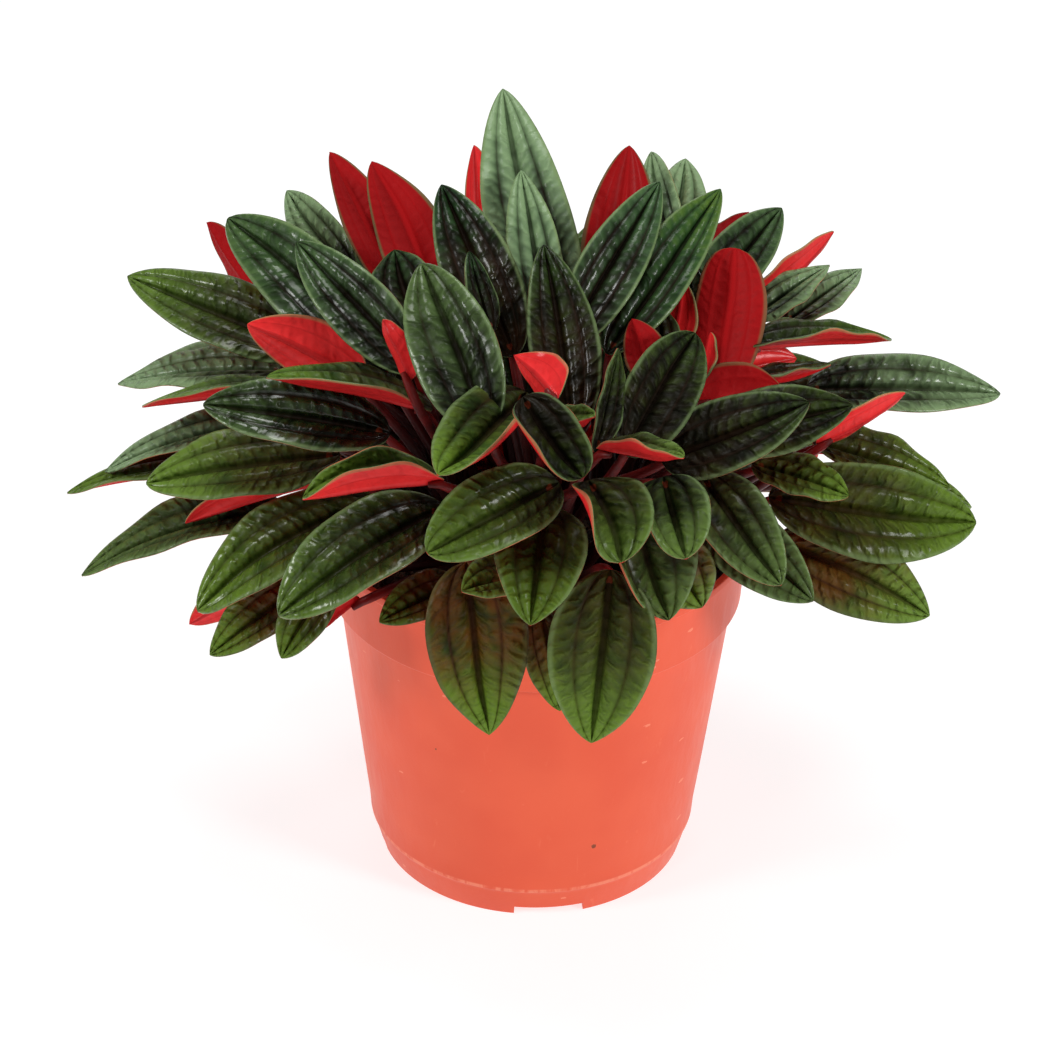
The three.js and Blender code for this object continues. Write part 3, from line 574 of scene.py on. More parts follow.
            def rises(u: Array, v: Array, shape: tuple) -> Array:
                """How far the blades' middle surfaces stand out from their base lines."""
                bow = (rise * length)[shape] * 4 * u * (1 - u)
                return bow + (fold * half)[shape] * OUTLINE.at(u) * v * v

            row = (slice(None), None)
            on_blade = (
                bases[:, None]
                + along[:, None] * (probe_u * length[:, None])[..., None]
                + side[:, None] * (probe_v * half[:, None] * OUTLINE.at(probe_u))[..., None]
                + normal[:, None] * rises(probe_u, probe_v, row)[..., None]
            )
            stalks = STALK.points(STALK.controls(bases, along, roots, hubs, steep), probe_t)
            probes = np.concatenate([on_blade, stalks], axis=1)
            offset = probes[None] - bases[:, None, None]
            share = np.einsum("jipk,jk->jip", offset, along) / length[column]
            u = np.clip(share, *self.inside)
            v = np.einsum("jipk,jk->jip", offset, side) / (half[column] * OUTLINE.at(u) + self.side_margin)
            near = (share >= -self.end_margin) & (share <= 1 + self.end_margin) & (np.abs(v) <= 1)
            height = np.einsum("jipk,jk->jip", offset, normal) - rises(u, v, column)
            face = np.sign(np.where(near, height, 0).sum(axis=2))
            face[face == 0] = 1
            lack = np.where(near, clearance[..., None] - face[..., None] * height, -np.inf)
            worst = lack.argmax(axis=2)
            lack = np.take_along_axis(lack, worst[..., None], 2)[..., 0]
            at = np.take_along_axis(u, worst[..., None], 2)[..., 0]
            apart = np.linalg.norm(bases[:, None] - bases[None], axis=2)
            active = (lack > 0) & (apart <= self.reach) & ~np.eye(len(leaves), dtype=bool)
            base, tip = base_share[worst], tip_share[worst]
            weight = base**2 + tip**2 + (1 - at) ** 2 + at**2
            push = np.where(active, face * np.minimum(lack, self.step) * self.share / weight, 0)
            facing = normal @ VIEW_TOWARD
            faces = np.abs(facing) > self.facing_limit
            way = np.where(faces[:, None], VIEW_TOWARD / np.where(faces, facing, 1)[:, None], normal)
            base_move = (push * base).T @ way - (push * (1 - at)).sum(1)[:, None] * way
            tip_move = (push * tip).T @ way - (push * at).sum(1)[:, None] * way
            bases = bases + self.clamped(base_move)
            tips = tips + self.clamped(tip_move)
        for leaf, tip, base in zip(leaves, tips, bases):
            leaf.tip, leaf.base = tip, base

    def clamped(self, moves: Array) -> Array:
        """Moves no longer than a step."""
        length = np.linalg.norm(moves, axis=1, keepdims=True)
        return moves * np.minimum(1, self.step / np.maximum(length, 1e-12))


@dataclass(frozen=True)
class Tint:
    """How far a leaf's green leans to lime, to a pale painted sheen and to brown, each from 0 to 1."""

    lime: float
    painted_sheen: float
    brown: float


class LeafTone(Enum):
    """The greens of the leaves, by their age and place, with a painted sheen on the pale ones; on the red
    lower faces, painted shade on the shaded ones and painted light on the lit ones.
    """

    DARK = Tint(0.05, 0.0, 0.1)
    DEEP = Tint(0.3, 0.1, 0.0)
    MID = Tint(0.6, 0.05, 0.05)
    FRESH = Tint(0.9, 0.0, 0.2)
    # Painted sheen: the pale leaves carry a pale whitish-green haze where light glances off them
    PALE = Tint(0.55, 0.9, 0.0)
    BROWNED = Tint(0.85, 0.0, 0.8)
    # Painted shade: a darker red on the lower faces that lie in shade
    WINE = Tint(0.0, 0.0, 0.65)
    # Painted light: a brighter red on the lower faces that the lamps light and shine through
    SCARLET = Tint(0.9, 0.0, 0.0)


TONES = {
    LeafTone.PALE: (
        "top tall", "top mid", "top right pale", "top right thin", "left back pale", "left back tip",
        "far left three", "left pale", "left pale two", "far left two", "far right", "right green horn",
        "right dark horn",
    ),
    LeafTone.FRESH: (
        "left wing", "left broad", "left glossy two", "left boat", "boat low left", "left curl",
        "yellow small", "right striped two", "hanging centre", "left low drop", "far left tip",
        "left under red", "centre boat", "boat right", "right small", "right big", "right striped",
    ),
    LeafTone.DARK: (
        "right oval", "right front dark", "front centre", "upper left dark", "cupped centre",
        "narrow upright", "right second dark", "left inner dark", "inner dark", "inner right dark",
        "small upright", "right dark boat",
    ),
    LeafTone.MID: (
        "upper right light", "left glossy", "front drop", "round front", "round front right",
        "left of front", "drop right", "right of front", "right behind front", "far left low",
        "right two tone",
    ),
    LeafTone.BROWNED: (
        "hanging left", "hanging behind", "brown right", "brown on rim", "left low brown", "right low",
    ),
    LeafTone.WINE: (
        "top left red narrow", "top left red broad", "top right red", "right curved red", "right big red",
        "inner red", "right red plate", "left back red",
    ),
    LeafTone.SCARLET: (
        "left red", "left red boat", "centre red", "right red horn", "right red tongue", "left red edge",
        "left low pink", "right red sliver",
    ),
}
TONE_OF = {name: tone for tone, names in TONES.items() for name in names}


@dataclass(frozen=True)
class Habit:
    """How a blade is held: the roll of its right and left half and its twist, in degrees, and its looks.

    Right and left are as seen from its base, with its upper face toward the viewer. The tip is how drawn out
    it is, the breadth is a share of the solid blade's, the gloss goes from 0 to 1, and the curl is how far
    the tip of a young leaf turns up, as a share of its length.
    """

    right: float = 0
    left: float = 0
    twist: float = 0
    tip: float = 0.74
    breadth: float = 1.0
    gloss: float = 0.3
    curl: float = 0


HABITS = {
    "boat low left": Habit(5, 118, 12, 0.65, 1.45, 0.1, 0.08),
    "cupped centre": Habit(115, 45, -5, 0.5, 1.2, 0.05, 0.08),
    "centre boat": Habit(20, 90, gloss=0.1, curl=0.1),
    "boat right": Habit(90, 20, tip=0.6, gloss=0.1, curl=0.1),
    "round front": Habit(110, 35, -15, 0.5, 1.25, 0.12),
    "round front right": Habit(75, 20, 0, 0.55, 1.15, 0.12),
    "right of front": Habit(60, 10, 0, 0.66, 1.28, 0.2),
    "drop right": Habit(100, 5, 0, 0.8, 1.05, 0.12),
    "front drop": Habit(20, 15, gloss=0.12),
    "left of front": Habit(15, 35, 0, 0.55, 1.22, 0.28),
    "left curl": Habit(60, 60, curl=0.16),
    "centre red": Habit(50, 20, 0, 0.95, 1.1),
    "left red boat": Habit(130, 70, -62, 0.65, 1.15, 0.2),
    "left boat": Habit(0, 60),
    "right front dark": Habit(30, 0, gloss=0.12),
    "right second dark": Habit(15, 5, gloss=0.12),
    "right two tone": Habit(60, 0, gloss=0.3),
    "yellow small": Habit(15, 15, gloss=0.2),
    "right small": Habit(10, 0, 20, 0.6, 1.1, 0.1),
    "right low": Habit(0, 10, 8, 0.76, 1.22, 0.1),
    "narrow upright": Habit(60, 10, gloss=0.05),
    "left glossy": Habit(30, 25, 8, 0.62, 1.2, 0.85),
    "left glossy two": Habit(30, 20, 8, 0.62, 1.18, 0.75),
    "left dark glossy": Habit(20, 25, 0, 0.65, 1.05, 1.0),
    "left broad": Habit(15, 20, 0, 0.66, 1.1, 0.35),
    "left wing": Habit(10, 20, 0, 0.74, 1.0, 0.6),
    "left upper big": Habit(30, 10, 0, 0.62, gloss=0.55),
    "left upper front": Habit(30, 5, 0, 0.7, gloss=0.5),
    "front left big": Habit(20, 20, 0, 0.68, gloss=0.55),
    "front centre": Habit(20, 20, gloss=0.35),
    "upper left dark": Habit(20, 10, gloss=0.45),
    "upper right dark": Habit(15, 15, gloss=0.35),
    "right oval": Habit(20, 30, 8, 0.6, 1.05, 0.03),
    "hanging left": Habit(25, 10, 0, 0.85, 1.12, 0.1),
    "hanging centre": Habit(10, 15, 0, 0.78, gloss=0.06),
    "hanging behind": Habit(15, 15, gloss=0.05),
    "right big": Habit(0, 42, 0, 0.65, 1.18, 0.2),
    "right big red": Habit(25, 15, 0, 0.4),
    "right dark horn": Habit(10, 0, 14, 0.95),
    "right green horn": Habit(10, 0, 14, 0.95),
    "far right": Habit(25, 10, 6, 0.7, 1.2, 0.5),
}


def ring_quads(rows: int, size: int) -> Array:
    """The quads between rows of points that each run once round.

    Args:
        rows: how many rows there are.
        size: how many points a row has.

    Returns:
        The quads, counted from the first row's first point.
    """
    row, place = np.meshgrid(np.arange(rows - 1) * size, np.arange(size), indexing="ij")
    after = (place + 1) % size
    quads = np.stack([row + place, row + after, row + size + after, row + size + place], -1)
    return quads.reshape(-1, 4)


@dataclass(frozen=True)
class BladeForm:
    """The form of every blade. Heights are shares of its half width there, and lengths are in mm."""

    rows: int = 30
    half_columns: tuple[float, ...] = (
        0, 0.03, 0.07, 0.11, 0.16, 0.22, 0.28, 0.34, 0.39, 0.43,
        0.47, 0.5, 0.53, 0.57, 0.62, 0.7, 0.79, 0.88, 0.95, 1,
    )
    ends: Span = (0.0012, 0.9985)
    thickness: float = 1.15
    arch: float = 0.13
    side_vein: float = 0.5
    midrib_depth: float = 0.17
    midrib_breadth: float = 0.1
    side_depth: float = 0.1
    side_breadth: float = 0.09
    deepest_half: float = 8
    rib_share: float = 0.25
    cross_spacing: float = 3.4
    wave: float = 0.07
    wave_count: float = 1.5
    wave_lag: float = 2
    sway: float = 0.03
    hook: float = 0.025
    hook_start: float = 0.5
    curl_start: float = 0.55
    lopsided: float = 0.12
    keel: float = 0.16
    roll: float = 35
    least_roll: float = 0.001
    end_thickness: float = 0.45
    rim_thinning: float = 0.9
    blunt_base: float = 0.52
    heel: float = 3.0
    heel_share: float = 0.1
    old_reach: Span = (25, 75)
    tint_spread: Triple = (0.3, 0.2, 0.1)

    def stations(self) -> Array:
        """Where the rows of points stand, closer together at both ends.

        Returns:
            Their shares of the length.
        """
        even = np.linspace(0, 1, self.rows)
        eased = 0.5 - 0.5 * np.cos(math.pi * even)
        return np.clip(0.5 * even + 0.5 * eased, *self.ends)

    def columns(self) -> Array:
        """The shares of the half width at which the columns stand, from one rim to the other."""
        half = np.array(self.half_columns)
        return np.concatenate([-half[:0:-1], half])

    def grooves(self, away: Array) -> Array:
        """How deep the veins sink into the upper face.

        Args:
            away: the shares of the half width from the midrib.

        Returns:
            The depths, as shares of the half width.
        """
        def dip(place: float, breadth: float) -> Array:
            """A dip round a vein."""
            return np.exp(-(((away - place) / breadth) ** 2))

        midrib = self.midrib_depth * dip(0, self.midrib_breadth)
        return midrib + self.side_depth * dip(self.side_vein, self.side_breadth)

    def faces(self) -> Array:
        """The faces of one blade.

        Returns:
            The quads of its sides, and of its ends, which are closed across.
        """
        count = len(self.columns())
        size = 2 * count
        c = np.arange(count - 1)
        base = np.stack([c, size - 1 - c, size - 2 - c, c + 1], -1)
        tip = (self.rows - 1) * size + base[:, ::-1]
        return np.concatenate([ring_quads(self.rows, size), base, tip])


BLADE = BladeForm()


@dataclass
class MeshParts:
    """Points, quads and what each point carries, gathered for one mesh."""

    points: list[Array] = field(default_factory=list)
    faces: list[Array] = field(default_factory=list)
    carried: dict[str, list[Array]] = field(default_factory=dict)
    count: int = 0

    def add(self, points: Array, faces: Array, **carried: Array) -> None:
        """Adds a body.

        Args:
            points: its points, in mm.
            faces: its quads, counted from its own first point.
            carried: values for each point, by name.
        """
        self.points.append(points)
        self.faces.append(faces + self.count)
        self.count += len(points)
        for name, values in carried.items():
            self.carried.setdefault(name, []).append(values)

    def build(self, name: str) -> Mesh:
        """Makes the mesh, in metres and shaded smooth.

        Args:
            name: its name.

        Returns:
            The mesh.
        """
        mesh = bpy.data.meshes.new(name)
        mesh.from_pydata(np.concatenate(self.points) * MM, [], np.concatenate(self.faces))
        for label, parts in self.carried.items():
            values = np.concatenate(parts).astype(np.float32)
            kind = "FLOAT_VECTOR" if values.ndim == 2 else "FLOAT"
            made = mesh.attributes.new(label, kind, "POINT")
            made.data.foreach_set("vector" if values.ndim == 2 else "value", values.ravel())
        mesh.polygons.foreach_set("use_smooth", np.ones(len(mesh.polygons), bool))
        mesh.update()
        return mesh


def close_ends(mesh: Mesh) -> None:
    """Closes the open ends of a mesh and points its faces outwards.

    Args:
        mesh: the mesh, which is changed.
    """
    shape = bmesh.new()
    shape.from_mesh(mesh)
    bmesh.ops.holes_fill(shape, edges=[edge for edge in shape.edges if edge.is_boundary], sides=0)
    bmesh.ops.recalc_face_normals(shape, faces=shape.faces)
    shape.to_mesh(mesh)
    shape.free()


def turned_body(
    name: str, rows: Array, sides: int, centre: Sequence = (0, 0), swell: Array | float = 1, **carried: Array
) -> Mesh:
    """A closed body that a cross-section makes when it is turned about an upright axis.

    Args:
        name: the mesh's name.
        rows: the cross-section's [radius, height] points, from one end to the other.
        sides: how many sides the body has.
        centre: where its axis stands.
        swell: what the radius is multiplied by at each point.
        carried: a value for each row, by name.

    Returns:
        Its mesh.
    """
    turns = np.linspace(0, FULL_TURN, sides, endpoint=False)
    r = rows[:, :1] * swell
    x, y = centre[0] + r * np.cos(turns), centre[1] + r * np.sin(turns)
    points = np.stack([x, y, rows[:, 1:] + 0 * turns], -1).reshape(-1, 3)
    parts = MeshParts()
    spread = {label: np.repeat(values, sides) for label, values in carried.items()}
    parts.add(points, ring_quads(len(rows), sides), **spread)
    mesh = parts.build(name)
    close_ends(mesh)
    return mesh


def show(name: str, data: bpy.types.ID) -> bpy.types.Object:
    """Adds an object to the scene.

    Args:
        name: its name.
        data: the mesh, lamp or camera that it shows.

    Returns:
        The object.
    """
    shown = bpy.data.objects.new(name, data)
    bpy.context.scene.collection.objects.link(shown)
    return shown


def put(name: str, mesh: Mesh, slot: str, *nodes: str, material: Material | None = None) -> None:
    """Shows a mesh as a piece of the object.

    Args:
        name: the piece's name.
        mesh: its mesh, in place.
        slot: not used.
        nodes: the solids that it stands for.
        material: its finish, unless the mesh already has it.
    """
    piece = show(name, mesh)
    if material is not None:
        mesh.materials.clear()
        mesh.materials.append(material)
    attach(piece, "root")
    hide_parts(*nodes)
    LOG.info("%s: %d faces", name, len(mesh.polygons))


@dataclass
class GeometryRule:
    """A Geometry Nodes tree that a mesh is run through, with the values of its named inputs."""

    name: str
    inputs: dict[str, object]

    def __post_init__(self) -> None:
        """Makes the tree with its named inputs and its ends."""
        group = bpy.data.node_groups.new(self.name, "GeometryNodeTree")
        for way in ("INPUT", "OUTPUT"):
            group.interface.new_socket("Geometry", in_out=way, socket_type="NodeSocketGeometry")
        take(group, self.inputs)
        self.tree = Tree(group)
        start = self.tree.add("NodeGroupInput")
        self.given = {socket.name: socket for socket in start.outputs if socket.name}
        self.end = self.tree.add("NodeGroupOutput").inputs[0]

    def finish(self, geometry: Socket) -> None:
        """Ends the tree in plain faces with the given material.

        Args:
            geometry: what the tree makes.
        """
        real = self.tree.use("GeometryNodeRealizeInstances", geometry)
        dressed = self.tree.use("GeometryNodeSetMaterial", real, None, self.given["Material"])
        self.tree.feed(self.end, dressed)

    def run(self, source: Mesh, material: Material) -> Mesh:
        """Runs a mesh through the tree.

        Args:
            source: the mesh that goes in.
            material: the finish of what comes out.

        Returns:
            The plain mesh that comes out.
        """
        carrier = show(f"{self.name}_source", source)
        modifier = carrier.modifiers.new(self.name, "NODES")
        modifier.node_group = self.tree.tree
        sockets = {
            item.name: item.identifier
            for item in self.tree.tree.interface.items_tree
            if item.item_type == "SOCKET" and item.in_out == "INPUT"
        }
        for label, value in {**self.inputs, "Material": material}.items():
            modifier[sockets[label]] = value
        evaluated = carrier.evaluated_get(bpy.context.evaluated_depsgraph_get())
        made = bpy.data.meshes.new_from_object(evaluated)
        carrier.modifiers.clear()
        bpy.data.objects.remove(carrier)
        bpy.data.meshes.remove(source)
        return made


@dataclass
class Crown:
    """A crown: its leaves' blades, their stalks and the short stem that they grow from."""

    index: int
    leaves: list[Leaf]
    stalk_steps: int = 16
    stalk_sides: int = 10
    stalk_places: tuple[float, ...] = (0, 0.35, 0.9, 1)
    stalk_radii: tuple[float, ...] = (1.9, 1.45, 1.3, 1.2)
    joint_radius: float = 0.7
    joint_reach: float = 1.5
    joint_dip: float = 1.5
    end_dip: float = 1.7
    stem_sides: int = 28
    stem_rings: int = 14
    stem_end_radius: float = 0.3
    stem_cap: tuple[Span, ...] = ((0.93, 0.8), (0.7, 1.7), (0.4, 2.2), (0.05, 2.4))
    stem_bumps: float = 0.09
    stem_age: float = 0.35

    def blades(self, rng: np.random.Generator) -> Mesh:
        """The blades of all its leaves in one mesh.

        Args:
            rng: the source of each leaf's own small differences.

        Returns:
            The mesh.
        """
        parts = MeshParts()
        faces = BLADE.faces()
        for leaf in self.leaves:
            points, carried = self.blade(leaf, rng)
            parts.add(points, faces, **carried)
        return parts.build(f"blades_{self.index + 1}")

    def blade(self, leaf: Leaf, rng: np.random.Generator) -> tuple[Array, dict[str, Array]]:
        """A blade's points, ring by ring, and what they carry.

        Args:
            leaf: the leaf.
            rng: the source of its own small differences.

        Returns:
            The points in mm, and the values by name.
        """
        reach = float(np.linalg.norm(leaf.tip - leaf.base))
        heel = min(BLADE.heel, BLADE.heel_share * reach)
        length = reach + heel
        along = unit(leaf.tip - leaf.base)
        start = leaf.base - heel * along
        wave_turn, waviness, sway, edge, seed, hook, lopsided = rng.random(7)
        habit = HABITS.get(leaf.name, Habit(BLADE.roll * edge, BLADE.roll * (1 - edge)))
        twist = math.radians(habit.twist)
        facing = level_off(leaf.normal, along)
        normal = facing * math.cos(twist) + np.cross(along, facing) * math.sin(twist)
        side = np.cross(along, normal)
        u, v = np.meshgrid(BLADE.stations(), BLADE.columns(), indexing="ij")
        away = np.abs(v)
        middle = np.sin(math.pi * u)
        uneven = 1 + BLADE.lopsided * (lopsided - 0.5) * np.sign(v)
        half = leaf.width / 2 * habit.breadth * Outline(BLADE.blunt_base, habit.tip).at(u) * uneven
        roll = np.radians(np.where(v > 0, habit.right, habit.left))
        roll = np.maximum(roll, BLADE.least_roll) * middle**0.5
        bow = leaf.rise * length * 4 * u * (1 - u) + half * (1 - np.cos(roll * away)) / roll
        bow += habit.curl * length * smooth(BLADE.curl_start, 1, u) ** 2
        turns = u * (BLADE.wave_count + BLADE.wave_count * waviness) + wave_turn
        ripple = np.sin(FULL_TURN * turns + np.where(v < 0, BLADE.wave_lag, 0))
        bow += BLADE.wave * half * v**4 * ripple + BLADE.keel * half * (away - 0.5)
        height = bow + BLADE.arch * half * np.sin(math.pi * away) ** 0.9
        drift = np.sign(v) * half * np.sin(roll * away) / roll
        drift += BLADE.sway * (sway - 0.5) * 2 * length * middle
        drift += BLADE.hook * (hook - 0.5) * 2 * length * smooth(BLADE.hook_start, 1, u) ** 2
        run, climb = np.gradient(drift, axis=1), np.gradient(height, axis=1)
        steep = np.hypot(run, climb)
        groove = BLADE.grooves(away) * np.minimum(half, BLADE.deepest_half)
        thick = BLADE.thickness / 2 * (BLADE.end_thickness + (1 - BLADE.end_thickness) * middle**0.5)
        thick = thick * np.sqrt(1 - BLADE.rim_thinning * away**4)

        def placed(lift: Array) -> Array:
            """The points lifted square off the blade's middle surface."""
            aside, up = drift - lift * climb / steep, height + lift * run / steep
            return start + u[..., None] * length * along + aside[..., None] * side + up[..., None] * normal

        def ring(top: Array, bottom: Array) -> Array:
            """Each row's upper values, then its lower ones back again."""
            rows = np.concatenate([top, bottom[:, ::-1]], axis=1)
            return rows.reshape(-1, *rows.shape[2:])

        tint = TONE_OF.get(leaf.name, LeafTone.MID if leaf.rear else LeafTone.DEEP).value
        shift = (rng.random(3) - 0.5) * np.array(BLADE.tint_spread)
        tints = np.clip(np.array([tint.lime, tint.painted_sheen, tint.brown]) + shift, 0, 1)
        flat = np.stack([u, v, np.ones_like(u)], -1)
        sheet = np.stack([u * length - heel, v * half, np.full_like(u, seed)], -1)
        age = smooth(*BLADE.old_reach, np.array(math.hypot(*leaf.base[:2])))
        carried = {
            "blade": ring(flat, flat * np.array([1, 1, 0])),
            "sheet": ring(sheet, sheet),
            "tint": np.tile(tints, (2 * u.size, 1)),
            "age": np.full(2 * u.size, age),
            "gloss": np.full(2 * u.size, habit.gloss),
        }
        rib = np.maximum(BLADE.rib_share * groove, groove - thick)
        return ring(placed(thick - groove), placed(-thick - rib)), carried

    def courses(self) -> Mesh:
        """The courses of its petioles as bare lines.

        Returns:
            A mesh whose points carry the petiole's thickness and their share of its way.
        """
        along = unit(np.array([leaf.tip - leaf.base for leaf in self.leaves]))
        base, root, normal, steep = gathered(self.leaves, "base", "root", "normal", "steepness")
        hubs = np.tile(crown_place(self.index), (len(self.leaves), 1))
        t = np.linspace(0, 1, self.stalk_steps)
        lines = STALK.points(STALK.controls(base, along, root, hubs, steep), t)
        upward = level_off(normal, along)
        lines -= self.end_dip * smooth(0.5, 1, t)[:, None] * upward[:, None]
        joints = base + self.joint_reach * along - self.joint_dip * upward
        lines = np.concatenate([lines, joints[:, None]], axis=1)
        way = np.append(t, 1.0)
        thick = np.interp(way, self.stalk_places, self.stalk_radii)
        thick[-1] = self.joint_radius
        count, steps = lines.shape[:2]
        starts = np.arange(count)[:, None] * steps + np.arange(steps - 1)
        edges = np.stack([starts, starts + 1], -1).reshape(-1, 2)
        mesh = bpy.data.meshes.new("petiole_courses")
        mesh.from_pydata(lines.reshape(-1, 3) * MM, edges, [])
        for label, values in (("thick", thick * MM), ("along", way)):
            made = mesh.attributes.new(label, "FLOAT", "POINT")
            made.data.foreach_set("value", np.tile(values, count).astype(np.float32))
        return mesh

    @classmethod
    def stalk_rule(cls) -> GeometryRule:
        """The rule that makes round stalks along bare lines.

        Returns:
            The rule.
        """
        rule = GeometryRule("stalks", {"Sides": cls.stalk_sides, "Material": None})
        tree = rule.tree
        course = tree.use("GeometryNodeMeshToCurve", rule.given["Geometry"])
        section = tree.use("GeometryNodeCurvePrimitiveCircle", rule.given["Sides"])
        tree.feed(section.node.inputs["Radius"], 1.0)
        thick = tree.use("GeometryNodeInputNamedAttribute", "thick")
        tubes = tree.use("GeometryNodeCurveToMesh", course, section, thick, True)
        rule.finish(tree.use("GeometryNodeSetShadeSmooth", tubes))
        return rule

    def stem(self, rng: np.random.Generator) -> Mesh:
        """The short fleshy stem: tapered, round-topped and knobbed with the scars of old leaves.

        Args:
            rng: the source of its bumps.

        Returns:
            The mesh.
        """
        foot = CROWN_TOP - CROWN_DEPTH
        rings = np.linspace(0, 1, self.stem_rings)
        radius = CROWN_RADIUS * (1 - (1 - CROWN_TAPER) * rings)
        rows = np.array([
            (self.stem_end_radius, foot),
            *zip(radius, CROWN_TOP - CROWN_DEPTH * (1 - rings)),
            *((CROWN_RADIUS * CROWN_TAPER * share, CROWN_TOP + rise) for share, rise in self.stem_cap),
        ])
        bumps = 1 + self.stem_bumps * (rng.random((len(rows), self.stem_sides)) - 0.5)
        age = np.linspace(0, self.stem_age, len(rows))
        place = crown_place(self.index)
        return turned_body(f"stem_{self.index + 1}", rows, self.stem_sides, place, bumps, along=age)

    def build(self, rng: np.random.Generator, leaf: Material, stalk: Material, rule: GeometryRule) -> None:
        """Makes and dresses the crown's pieces.

        Args:
            rng: the source of small differences.
            leaf: the finish of the blades.
            stalk: the finish of the stalks and the stem.
            rule: the rule that makes stalks along lines.
        """
        number = self.index + 1
        node = f"crown_{number}"
        put(f"leaves_{number}", self.blades(rng), "leaf", node, material=leaf)
        put(f"stalks_{number}", rule.run(self.courses(), stalk), "leaf", node)
        put(f"stem_{number}", self.stem(rng), "leaf", node, material=stalk)


class Tree:
    """A node tree with short calls for its nodes."""

    # The share of a reach within which near stays 1
    CORE = 0.4

    def __init__(self, tree: NodeTree) -> None:
        """Wraps the shader or geometry tree to build in."""
        self.tree = tree

    def add(self, kind: str, **settings: object) -> bpy.types.Node:
        """A new node.

        Args:
            kind: its kind.
            settings: its settings by name.

        Returns:
            The node.
        """
        node = self.tree.nodes.new(kind)
        for name, value in settings.items():
            setattr(node, name, value)
        return node

    def feed(self, socket: Socket, value: object) -> None:
        """Feeds an input.

        Args:
            socket: the input.
            value: an output to join it to, a value to set it to, or None to leave it as it is.
        """
        if isinstance(value, bpy.types.NodeSocket):
            self.tree.links.new(value, socket)
        elif value is not None:
            socket.default_value = value

    def feed_all(self, node: bpy.types.Node, **values: object) -> bpy.types.Node:
        """Feeds a node's inputs by name.

        Args:
            node: the node.
            values: what feeds each input, with underscores for spaces.

        Returns:
            The same node.
        """
        for name, value in values.items():
            self.feed(node.inputs[name.replace("_", " ")], value)
        return node

    def use(self, kind: str, *values: object, out: int | str = 0, **settings: object) -> Socket:
        """A new node with its first inputs fed in order.

        Args:
            kind: the node's kind.
            values: what feeds the inputs, or None to leave one as it is.
            out: the output that is returned.
            settings: the node's settings.

        Returns:
            One of the node's outputs.
        """
        node = self.add(kind, **settings)
        for socket, value in zip(node.inputs, values):
            self.feed(socket, value)
        return node.outputs[out]

    def math(self, operation: str, *values: Number, clamp: bool = False) -> Socket:
        """One sum on numbers."""
        return self.use("ShaderNodeMath", *values, operation=operation, use_clamp=clamp)

    def times(self, first: Number, second: Number) -> Socket:
        """The product of two numbers."""
        return self.math("MULTIPLY", first, second)

    def weigh(self, start: Number, *terms: tuple[Socket, Number]) -> Socket:
        """A number plus others, each times its weight.

        Args:
            start: the first number.
            terms: each other number with its weight.

        Returns:
            The sum.
        """
        for value, weight in terms:
            start = self.math("MULTIPLY_ADD", value, weight, start)
        return start

    def step(self, span: Span, value: Socket) -> Socket:
        """A smooth step from 0 at the start of a span to 1 at its end."""
        return self.use("ShaderNodeMapRange", value, *span, 0.0, 1.0, interpolation_type="SMOOTHSTEP")

    def near(self, value: Socket, reach: float) -> Socket:
        """1 near nought, fading to 0 at a reach."""
        off = self.step((reach * self.CORE, reach), self.math("ABSOLUTE", value))
        return self.math("SUBTRACT", 1.0, off)

    def mix(self, factor: Number, first: Colour | Socket, second: Colour | Socket) -> Socket:
        """A colour between two.

        Args:
            factor: how far it is from the first to the second, from 0 to 1.
            first: one colour.
            second: the other.

        Returns:
            The colour.
        """
        node = self.add("ShaderNodeMix", data_type="RGBA")
        self.feed(node.inputs[0], factor)
        for socket, colour in zip(node.inputs[6:8], (first, second)):
            self.feed(socket, (*colour, 1.0) if isinstance(colour, tuple) else colour)
        return node.outputs[2]

    def split(self, vector: Socket) -> list[Socket]:
        """The three numbers of a vector."""
        return list(self.use("ShaderNodeSeparateXYZ", vector).node.outputs)

    def join(self, x: Number, y: Number, z: Number) -> Socket:
        """A vector of three numbers."""
        return self.use("ShaderNodeCombineXYZ", x, y, z)

    def attribute(self, name: str, out: str = "Vector") -> Socket:
        """A mesh's own attribute."""
        return self.add("ShaderNodeAttribute", attribute_name=name).outputs[out]

    def place(self) -> Socket:
        """The place on the object, in metres."""
        return self.add("ShaderNodeTexCoord").outputs["Object"]

    def noise(self, place: Socket, scale: Number, detail: float = 2.0, **inputs: float) -> Socket:
        """A cloudy number round a half, with so many clouds to a unit of length."""
        node = self.add("ShaderNodeTexNoise")
        return self.feed_all(node, Vector=place, Scale=scale, Detail=detail, **inputs).outputs["Fac"]

    def bump(self, height: Socket, depth: float) -> Socket:
        """A normal tilted by a height that runs from 0 to 1 over a depth in metres."""
        node = self.add("ShaderNodeBump")
        return self.feed_all(node, Strength=1.0, Distance=depth, Height=height).outputs["Normal"]

    def group(self, tree: NodeTree, **inputs: Number) -> Sequence[Socket]:
        """The outputs of a shader group placed in the tree, with its inputs fed by name."""
        return self.feed_all(self.add("ShaderNodeGroup", node_tree=tree), **inputs).outputs

    def mottle(self, place: Socket, size: float, grain: float) -> Sequence[Socket]:
        """The cloud and the speckle of a surface whose unevenness has these sizes."""
        return self.group(mottle_group(), Place=place, Size=size, Grain=grain)


INPUT_KINDS = {int: "Int", float: "Float", tuple: "Vector", type(None): "Material"}


def take(group: NodeTree, inputs: dict[str, object]) -> None:
    """Gives a group named inputs, each of the kind of its value.

    Args:
        group: the group.
        inputs: the inputs' values by name, with None for a material.
    """
    for name, value in inputs.items():
        kind = f"NodeSocket{INPUT_KINDS[type(value)]}"
        made = group.interface.new_socket(name, in_out="INPUT", socket_type=kind)
        if value is not None:
            made.default_value = value


